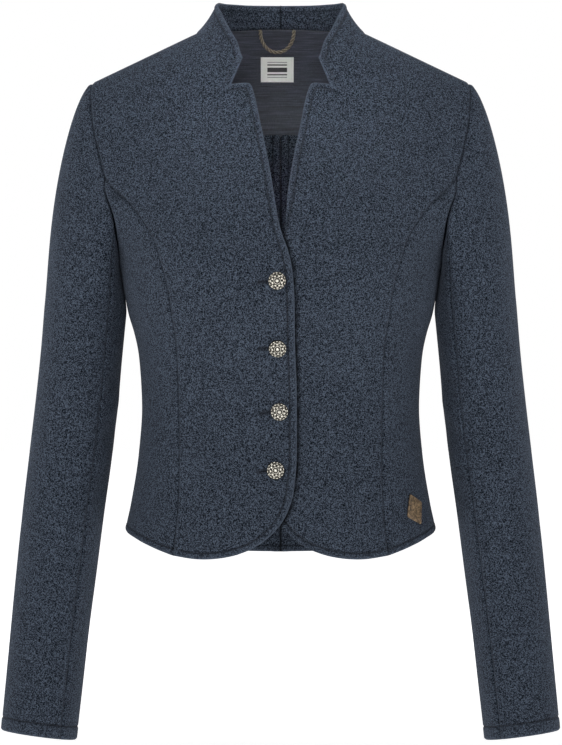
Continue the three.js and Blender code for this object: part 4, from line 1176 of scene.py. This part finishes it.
def lining_gathers(sheet):
    """Small pleats that the lining takes up at its hem, deepest at the centre back."""
    x, to_hem = sheet.points[:, 0], distance(sheet.points, sheet.edge_lines)
    near = bell(to_hem, 16)
    pleats = sum(high * bell(x, wide, at) for at, wide, high in LINING_PLEATS)
    lean = 0.12 * (sheet.points[:, 2] + 60)
    folds = sum(high * bell(x - at - lean, wide) for at, wide, high in LINING_FOLDS)
    to_seam = distance(sheet.points, sheet.seam_lines)
    return pleats * near * smooth(0, 2, to_hem) + folds * (1 - near) * smooth(0, 12, to_seam)


def on_lining(x, z, off):
    """Points at a height over the lining's face that show at x and z from the front."""
    goal = np.column_stack([x, z])
    aim = goal.copy()
    depth = WOOL + SEAM_GAP + LINING + LINING_CLEAR + off
    for _ in range(8):
        place = locate(*aim.T, False)
        points = body(*place.T) - body_normal(*place.T) * depth
        aim += goal - points[:, [0, 2]]
    return points


def hanger_loop(strands):
    """Points, faces and depth of the twisted cord, sewn into the neck seam at both ends."""
    turns, sides, radius = LOOP["turns"], LOOP["sides"], LOOP["radius"]
    t = np.linspace(0, PI, turns + 1)
    low, high = (np.array(v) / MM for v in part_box("hanger_loop"))
    x = (low[0] + high[0]) / 2 + NECK_ASIDE + ((high[0] - low[0]) / 2 - 2) * np.cos(t)
    z = high[2] - 0.4 - (high[2] - low[2] - 2.2) * np.sin(t) ** 0.9
    spine = on_lining(x, z, radius)
    tangent = unit(np.gradient(spine, axis=0))
    normal = unit(np.cross(tangent, body_normal(*locate(x, z, False).T)))
    binormal = np.cross(tangent, normal)
    angle = np.linspace(0, 2 * PI, sides, endpoint=False)
    wave = np.cos(strands * angle[None] - lengths(spine)[:, None] * LOOP["twist"])
    r = radius * (0.88 + 0.16 * wave)
    ring = (spine[:, None] + (r * np.cos(angle))[..., None] * normal[:, None]
            + (r * np.sin(angle))[..., None] * binormal[:, None])
    tips = (turns + 1) * sides
    faces = (tube_faces(turns + 1, sides) + fan_faces(tips, 0, sides)
             + fan_faces(tips + 1, turns * sides, sides))
    # recess is 1 on the crowns of the strands and 0 in their grooves, which get painted shade
    recess = np.concatenate([(wave.ravel() + 1) / 2, [0.5, 0.5]])
    return np.vstack([ring.reshape(-1, 3), spine[:1], spine[-1:]]), faces, recess


def label_tape():
    """Points, faces and UVs of the neck label: a thin tape that waves a little."""
    low, high = (np.array(v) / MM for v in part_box("neck_label"))
    columns, rows = 33, 25
    x, z = np.meshgrid(np.linspace(low[0], high[0], columns) + NECK_ASIDE,
                       np.linspace(low[2], high[2], rows))
    u, v = np.meshgrid(np.linspace(0, 1, columns), np.linspace(0, 1, rows))
    waves = 0.25 * np.sin(7 * u + 2) * np.sin(5 * v) + 0.5 * np.sin(PI * u) * (1 - v)
    rounded = 0.15 * bell(np.minimum(np.minimum(u, 1 - u) * 32, np.minimum(v, 1 - v) * 23), 0.5)
    points = on_lining(x.ravel(), z.ravel(), 0).reshape(rows, columns, 3)
    face = points - (0, 1, 0) * (LABEL + waves - rounded)[..., None]
    back = points - (0, 1, 0) * (waves + rounded)[..., None]
    tris, n = grid_tris(rows, columns), rows * columns
    rim = [*range(columns), *range(2 * columns - 1, n, columns),
           *range(n - 2, n - columns - 1, -1), *range(n - 2 * columns, 0, -columns)]
    sides = [(b, a, a + n, b + n) for a, b in zip(rim, rim[1:] + rim[:1])]
    faces = [tuple(t) for t in tris] + [tuple(t[::-1] + n) for t in tris] + sides
    uv = np.stack([u, v], -1).reshape(-1, 2)
    return np.vstack([face.reshape(-1, 3), back.reshape(-1, 3)]), faces, np.vstack([uv, uv])


class CARDIGAN_OT_back_neck(bpy.types.Operator):
    """Back neck lining, blank label and hanger loop"""

    bl_idname = "cardigan.back_neck"
    bl_label = "Back neck"

    def execute(self, context):
        sheet = yoke_sheet()
        gathers = lining_gathers(sheet)
        lip = 0.4 * LINING * bell(distance(sheet.points, sheet.edge_lines), 0.6)
        sheet.outer = 0.25 * np.minimum(gathers, 0) - lip
        sheet.inner = -np.abs(gathers) * 0.6 + gathers * 0.4 + lip
        sheet.dark = sheet.lit = np.zeros(2 * len(sheet.points))
        lining = shell(sheet, "back_neck_lining_cloth", LINING, WOOL + SEAM_GAP, SEAM_GAP)
        finished(painted(lining, lining_material()), "lining", "back_neck_lining")

        tape = facing_out(mesh_object("neck_label_tape", *label_tape()))
        finished(painted(tape, label_material()), "label", "neck_label")

        points, faces, recess = hanger_loop(context.scene.cardigan_trim.loop_strands)
        cord = mesh_object("hanger_loop_cord", points, faces, attributes=[("recess", recess)])
        finished(painted(facing_out(cord), cord_material()), "cord", "hanger_loop")
        return {"FINISHED"}


def tab_line(inset, count=96):
    """Outline of the tab with small round corners, drawn in towards its middle."""
    half, corner = np.array([TAB["wide"], TAB["high"]]) / 2, TAB["corner"]
    turn = np.linspace(0, 2 * PI, count, endpoint=False)
    out = np.column_stack([np.cos(turn), np.sin(turn)])
    return (np.sign(out) * (half - corner) + corner * out) * (1 - inset / half[0])


def on_side_front(flat):
    """Points of the side front under the tab, and the directions out of the cloth there."""
    at = locate(TAB["x"], TAB["z"], True)
    girth = np.linalg.norm(body(at[0] + 0.01, at[1]) - body(at[0] - 0.01, at[1])) / 0.02
    sin, cos = math.sin(TAB["turn"]), math.cos(TAB["turn"])
    x, up = (flat @ np.array([[cos, -sin], [sin, cos]])).T
    place = at[0] + x / girth, at[1] - up
    return body(*place), body_normal(*place)


class CARDIGAN_OT_leather_tab(bpy.types.Operator):
    """Plain leather tab on the left side front, with its stitches"""

    bl_idname = "cardigan.leather_tab"
    bl_label = "Leather tab"

    def execute(self, context):
        count, half = 96, TAB["wide"] / 2
        insets = [(1 - share) * half for share in (1.0, 0.985, 0.95, 0.9, 0.8, 0.6, 0.3)]
        rises = [LEATHER * (1 - 0.45 * bell(inset, 0.5)) - 0.35 * bell(inset, 0.45, 2.0)
                 for inset in insets]
        base, out = on_side_front(np.vstack([*(tab_line(inset) for inset in insets),
                                             np.zeros((1, 2))]))
        lift = np.concatenate([np.repeat(rises, count), [LEATHER]])
        under = (base + out * SEAM_GAP)[[*range(count), -1]]
        points = np.vstack([base + out * (SEAM_GAP + lift)[:, None], under])
        tip = len(insets) * count
        faces = tube_faces(len(insets), count) + fan_faces(tip, tip - count, count)
        faces += [(j, tip + 1 + j, tip + 1 + (j + 1) % count, (j + 1) % count)
                  for j in range(count)]
        faces += fan_faces(tip + 1 + count, tip + 1, count)
        hide = facing_out(mesh_object("leather_tab_hide", points, faces))
        finished(painted(hide, leather_material()), "leather", "leather_tab")

        line = tab_line(TAB["stitch_inset"])
        base, out = on_side_front(np.vstack([line, line[:1]]))
        seam = base + out * (SEAM_GAP + LEATHER - 0.25)
        stitch_run("leather_tab_stitches", [seam], 2.2 * MM, 0.4 * MM)
        return {"FINISHED"}


def button_face(radius, petals, theta):
    """Radii, heights and raised work of a button's domed face."""
    radii = np.concatenate([np.linspace(0.03, 0.9, 34), [0.93, 0.96, 0.985, 1.0]])
    r, a = np.meshgrid(radii, theta, indexing="ij")
    petal = np.abs(np.cos(petals / 2 * a)) ** 1.6
    leaf = np.clip(np.sin(PI * np.clip((r - 0.42) / 0.30, 0, 1)), 0, 1)
    between = np.abs(np.sin(petals / 2 * a)) ** 3
    beads = 0.5 + 0.5 * np.cos(2 * petals * a)
    work = (0.5 * bell(r, 0.055, 0.90) * (0.25 + 0.75 * beads) + 0.5 * bell(r, 0.06, 0.74) * between
            + 0.5 * leaf * petal + 0.4 * bell(r, 0.04, 0.36) + 0.8 * bell(r, 0.16))
    dome = BUTTON["rim_high"] + BUTTON["dome"] * (1 - r ** 2)
    return r * radius, dome + work * BUTTON["relief"] - 0.9 * bell(r, 0.02, 1), work


class CARDIGAN_OT_buttons(bpy.types.Operator):
    """Domed metal buttons with a rosette in rings"""

    bl_idname = "cardigan.buttons"
    bl_label = "Buttons"

    def execute(self, context):
        trim = context.scene.cardigan_trim
        radius, around = trim.button_radius / MM, 96
        theta = np.linspace(0, 2 * PI, around, endpoint=False)
        r, high, work = button_face(radius, trim.petals, theta)
        under = [(radius * share, tall) for share, tall in BUTTON_BACK]
        under += [(BUTTON["shank"], tall) for tall in (BUTTON["shank_high"], 0)]
        rings = len(r) + len(under)
        faces = (fan_faces(0, 1, around) + tube_faces(rings, around, 1)
                 + fan_faces(1 + rings * around, 1 + (rings - 1) * around, around))
        recess = np.concatenate([
            [1], np.clip(work.ravel() * 1.7, 0, 1), np.full(len(under) * around + 1, 0.3)])
        for i, (x, z) in enumerate(BUTTONS, 1):
            at = locate(x, z, True)
            out = body_normal(*at)
            base = body(*at) + out * SEAM_GAP
            side = unit(np.cross(out, (0, 0, 1)))
            turn = theta[:, None] + BUTTON["turn"] * i
            spoke = np.cos(turn) * side + np.sin(turn) * np.cross(side, out)
            face = base + r[..., None] * spoke[None] + high[..., None] * out
            points = np.vstack([base + high[0].mean() * out, face.reshape(-1, 3),
                                *(base + wide * spoke + tall * out for wide, tall in under), base])
            obj = mesh_object(f"button_{i}_metal", points, faces, attributes=[("recess", recess)])
            finished(painted(facing_out(obj), silver_material()), "antique_silver", f"button_{i}")
        return {"FINISHED"}


@functools.cache
def stitch_tree():
    """Geometry Nodes that lay short stitches end to end along curves."""
    tree = bpy.data.node_groups.new("Run of stitches", "GeometryNodeTree")
    face = tree.interface
    for name, kind, value in (
            ("Geometry", "Geometry", None), ("Pitch", "Float", 0.0034), ("Length", "Float", 0.0027),
            ("Thickness", "Float", 0.00055), ("Material", "Material", None)):
        socket = face.new_socket(name, in_out="INPUT", socket_type="NodeSocket" + kind)
        if value is not None:
            socket.default_value = value
    face.new_socket("Geometry", in_out="OUTPUT", socket_type="NodeSocketGeometry")
    nodes = Nodes(tree)
    given = nodes.add("NodeGroupInput").outputs
    line = nodes.add("GeometryNodeMeshToCurve", {"Mesh": given["Geometry"]})
    even = nodes.add("GeometryNodeResampleCurve", {
        "Curve": line.outputs[0], "Length": given["Pitch"]}, mode="LENGTH")
    run = nodes.add("GeometryNodeInputTangent")
    turn = nodes.add("FunctionNodeAlignRotationToVector", {"Vector": run.outputs[0]}, axis="Z")
    bead = nodes.add("GeometryNodeMeshUVSphere", {"Segments": 6, "Rings": 5, "Radius": 0.5})
    size = nodes.add("ShaderNodeCombineXYZ", {
        "X": given["Thickness"], "Y": given["Thickness"], "Z": given["Length"]})
    placed = nodes.add("GeometryNodeInstanceOnPoints", {
        "Points": even.outputs[0], "Instance": bead.outputs["Mesh"], "Rotation": turn.outputs[0],
        "Scale": size.outputs[0]})
    real = nodes.add("GeometryNodeRealizeInstances", {"Geometry": placed.outputs[0]})
    set_to = nodes.add("GeometryNodeSetMaterial", {
        "Geometry": real.outputs[0], "Material": given["Material"]})
    nodes.add("NodeGroupOutput", {"Geometry": set_to.outputs[0]})
    return tree


def stitch_run(name, lines, pitch, thickness):
    """Stitches along some lines of points, as one plain mesh."""
    points, edges = [], []
    for line in lines:
        edges += [(len(points) + i, len(points) + i + 1) for i in range(len(line) - 1)]
        points += (np.asarray(line) * MM).tolist()
    mesh = bpy.data.meshes.new(name)
    mesh.from_pydata(points, edges, [])
    guide = linked(name + "_line", mesh)
    modifier = guide.modifiers.new("Stitches", "NODES")
    modifier.node_group = stitch_tree()
    sockets = modifier.node_group.interface.items_tree
    ids = {s.name: s.identifier for s in sockets if s.in_out == "INPUT"}
    for key, value in (("Pitch", pitch), ("Length", pitch * 0.8), ("Thickness", thickness),
                       ("Material", thread_material())):
        modifier[ids[key]] = value
    guide.update_tag()
    graph = bpy.context.evaluated_depsgraph_get()
    made = bpy.data.meshes.new_from_object(guide.evaluated_get(graph), depsgraph=graph)
    guide.modifiers.clear()
    bpy.data.objects.remove(guide)
    made.name = name
    if not len(made.polygons):
        raise RuntimeError(name + " has no stitches")
    made.polygons.foreach_set("use_smooth", np.ones(len(made.polygons), bool))
    return finished(linked(name, made), "boiled_wool")


def surface_reader(sheet):
    """Reads a sheet's finished outer face near any point, from its closest vertices."""
    top = sheet.points + sheet.out * sheet.outer[:, None]
    tree = KDTree(len(top))
    for i, p in enumerate(sheet.points):
        tree.insert(p, i)
    tree.balance()

    def read(points, lift):
        out = []
        for p in points:
            near = tree.find_n(p, 4)
            ids = [i for _, i, _ in near]
            weights = np.array([1 / (d + 0.05) ** 2 for _, _, d in near])[:, None]
            n = unit((sheet.out[ids] * weights).sum(0))
            q = (top[ids] * weights).sum(0) / weights.sum()
            out.append(p + n * (float((q - p) @ n) + lift))
        return np.array(out)
    return read


def run_inside(line, sheet, by):
    """Points at given distances inside an edge line, over the cloth."""
    out = []
    for p, run, far in zip(line, unit(np.gradient(line, axis=0)), by):
        i = np.argmin(((sheet.points - p) ** 2).sum(1))
        way = unit(np.cross(sheet.out[i], run))
        out.append(p + way * far * (1 if way @ sheet.into[i] > 0 else -1))
    return np.array(out)


def topstitch_lines(sheet):
    """Runs of topstitching inside the open edges of a sheet, broken where edges come close."""
    read = surface_reader(sheet)
    lines = []
    for line in sheet.edge_lines:
        by = stitch_inset(sheet, line)
        inside = run_inside(line, sheet, by)
        keep = distance(inside, sheet.edge_lines) > by * 0.93
        breaks = np.flatnonzero(np.diff(keep)) + 1
        lines += [read(part, 0.12) for part, kept in zip(
            np.split(inside, breaks), np.split(keep, breaks)) if kept[0] and len(part) > 3]
    return lines


def buttonhole_lines(sheet):
    """Short stitches across both lips of every buttonhole."""
    read = surface_reader(sheet)
    lines = []
    for x, z in BUTTONS:
        for lip in (-1, 1):
            for at in np.arange(x - BUTTONHOLE["outer"], x - BUTTONHOLE["inner"], 0.75):
                place = buttonhole_line(x, z, np.full(3, at), lip * np.array([0.35, 1.1, 1.9]))
                lines.append(read(body(*place.T) * MIRROR, 0.18))
    return lines


class CARDIGAN_OT_stitching(bpy.types.Operator):
    """Topstitching along the front edges, collar, hems and cuffs, and the buttonholes"""

    bl_idname = "cardigan.stitching"
    bl_label = "Stitching"

    def execute(self, context):
        cloth, sheets = context.scene.cardigan_cloth, wool_sheets()
        for name, sheet in sheets.items():
            lines = topstitch_lines(sheet)
            if lines:
                stitch_run(f"{name}_topstitch", lines, cloth.stitch_pitch, cloth.stitch_thickness)
        lines = buttonhole_lines(sheets["front_right"])
        stitch_run("buttonhole_stitches", lines, 0.8 * MM, 0.5 * MM)
        return {"FINISHED"}


class CARDIGAN_OT_stage(bpy.types.Operator):
    """Pale floor, soft studio light and the camera"""

    bl_idname = "cardigan.stage"
    bl_label = "Stage"

    def execute(self, context):
        stage = context.scene.cardigan_stage
        self.floor(stage)
        self.studio(context.scene)
        for name, (place, size, power, aim, spread_angle) in LIGHTS.items():
            light = bpy.data.lights.new(name, "AREA")
            light.size, light.energy, light.spread = size, power, spread_angle
            lamp = linked(name, light)
            lamp.location = place
            goal = Vector((0, 0, aim))
            lamp.rotation_euler = (goal - Vector(place)).to_track_quat("-Z", "Y").to_euler()

        camera = bpy.data.cameras.new("Camera")
        camera.lens, camera.sensor_width = stage.lens, 36
        camera.clip_start, camera.clip_end = 0.05, 60
        eye = linked("Camera", camera)
        eye.location = (stage.aside, -stage.distance, stage.height)
        eye.rotation_euler = (PI / 2, 0, 0)
        context.scene.camera = eye
        context.scene.view_settings.view_transform = "Standard"
        return {"FINISHED"}

    def floor(self, stage):
        """A floor that glows more away from the garment, so that it ends without a horizon."""
        mesh = bpy.data.meshes.new("Floor")
        corners = ((-1, -1), (1, -1), (1, 1), (-1, 1))
        mesh.from_pydata([(FLOOR_REACH * x, FLOOR_REACH * y, stage.floor) for x, y in corners], [],
                         [(0, 1, 2, 3)])
        floor = linked("Floor", mesh)
        material, nodes = new_material("Pale floor")
        away = nodes.add("ShaderNodeVectorMath", {"Vector": nodes.place()}, operation="LENGTH")
        glow = nodes.add("ShaderNodeMapRange", {
            "Value": away.outputs["Value"], "From Min": 0.8, "From Max": 2.4, "To Min": 0.34,
            "To Max": 1.0})
        nodes.surface((*stage.pale, 1), 0.9, Emission_Color=(1, 1, 1, 1),
                      Emission_Strength=glow.outputs["Result"])
        painted(floor, material)

    def studio(self, scene):
        """Soft sky light on the garment, behind it a plain white ground."""
        world = bpy.data.worlds.new("Studio")
        scene.world = world
        world.use_nodes = True
        sky = Nodes(world.node_tree)
        seen = sky.add("ShaderNodeLightPath").outputs["Is Camera Ray"]
        soft = sky.add("ShaderNodeBackground", {"Color": (0.95, 0.97, 1.0, 1), "Strength": 0.13})
        plain = sky.add("ShaderNodeBackground", {"Color": (1, 1, 1, 1), "Strength": 1.0})
        both = sky.add("ShaderNodeMixShader", {0: seen, 1: soft.outputs[0], 2: plain.outputs[0]})
        sky.add("ShaderNodeOutputWorld", {"Surface": both.outputs[0]})


class CARDIGAN_PT_panel(bpy.types.Panel):
    """Sizes and colours of the cardigan, and its building steps"""

    bl_label = "Cardigan"
    bl_idname = "CARDIGAN_PT_panel"
    bl_space_type = "VIEW_3D"
    bl_region_type = "UI"
    bl_category = "Cardigan"

    def draw(self, context):
        for group in (context.scene.cardigan_cloth, context.scene.cardigan_trim,
                      context.scene.cardigan_stage):
            box = self.layout.box()
            for key in group.__annotations__:
                box.prop(group, key)
        for step in STEPS:
            self.layout.operator(step.bl_idname)


STEPS = (CARDIGAN_OT_body, CARDIGAN_OT_sleeves, CARDIGAN_OT_back_neck, CARDIGAN_OT_leather_tab,
         CARDIGAN_OT_buttons, CARDIGAN_OT_stitching, CARDIGAN_OT_stage)
GROUPS = {"cardigan_cloth": CardiganCloth, "cardigan_trim": CardiganTrim,
          "cardigan_stage": CardiganStage}


def register():
    for cls in (*GROUPS.values(), *STEPS, CARDIGAN_PT_panel):
        bpy.utils.register_class(cls)
    for name, cls in GROUPS.items():
        setattr(bpy.types.Scene, name, PointerProperty(type=cls))


def unregister():
    for name in GROUPS:
        delattr(bpy.types.Scene, name)
    for cls in reversed((*GROUPS.values(), *STEPS, CARDIGAN_PT_panel)):
        bpy.utils.unregister_class(cls)


def main():
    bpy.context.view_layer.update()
    register()
    for step in STEPS:
        group, name = step.bl_idname.split(".")
        getattr(getattr(bpy.ops, group), name)()


if __name__ == "__main__":
    main()
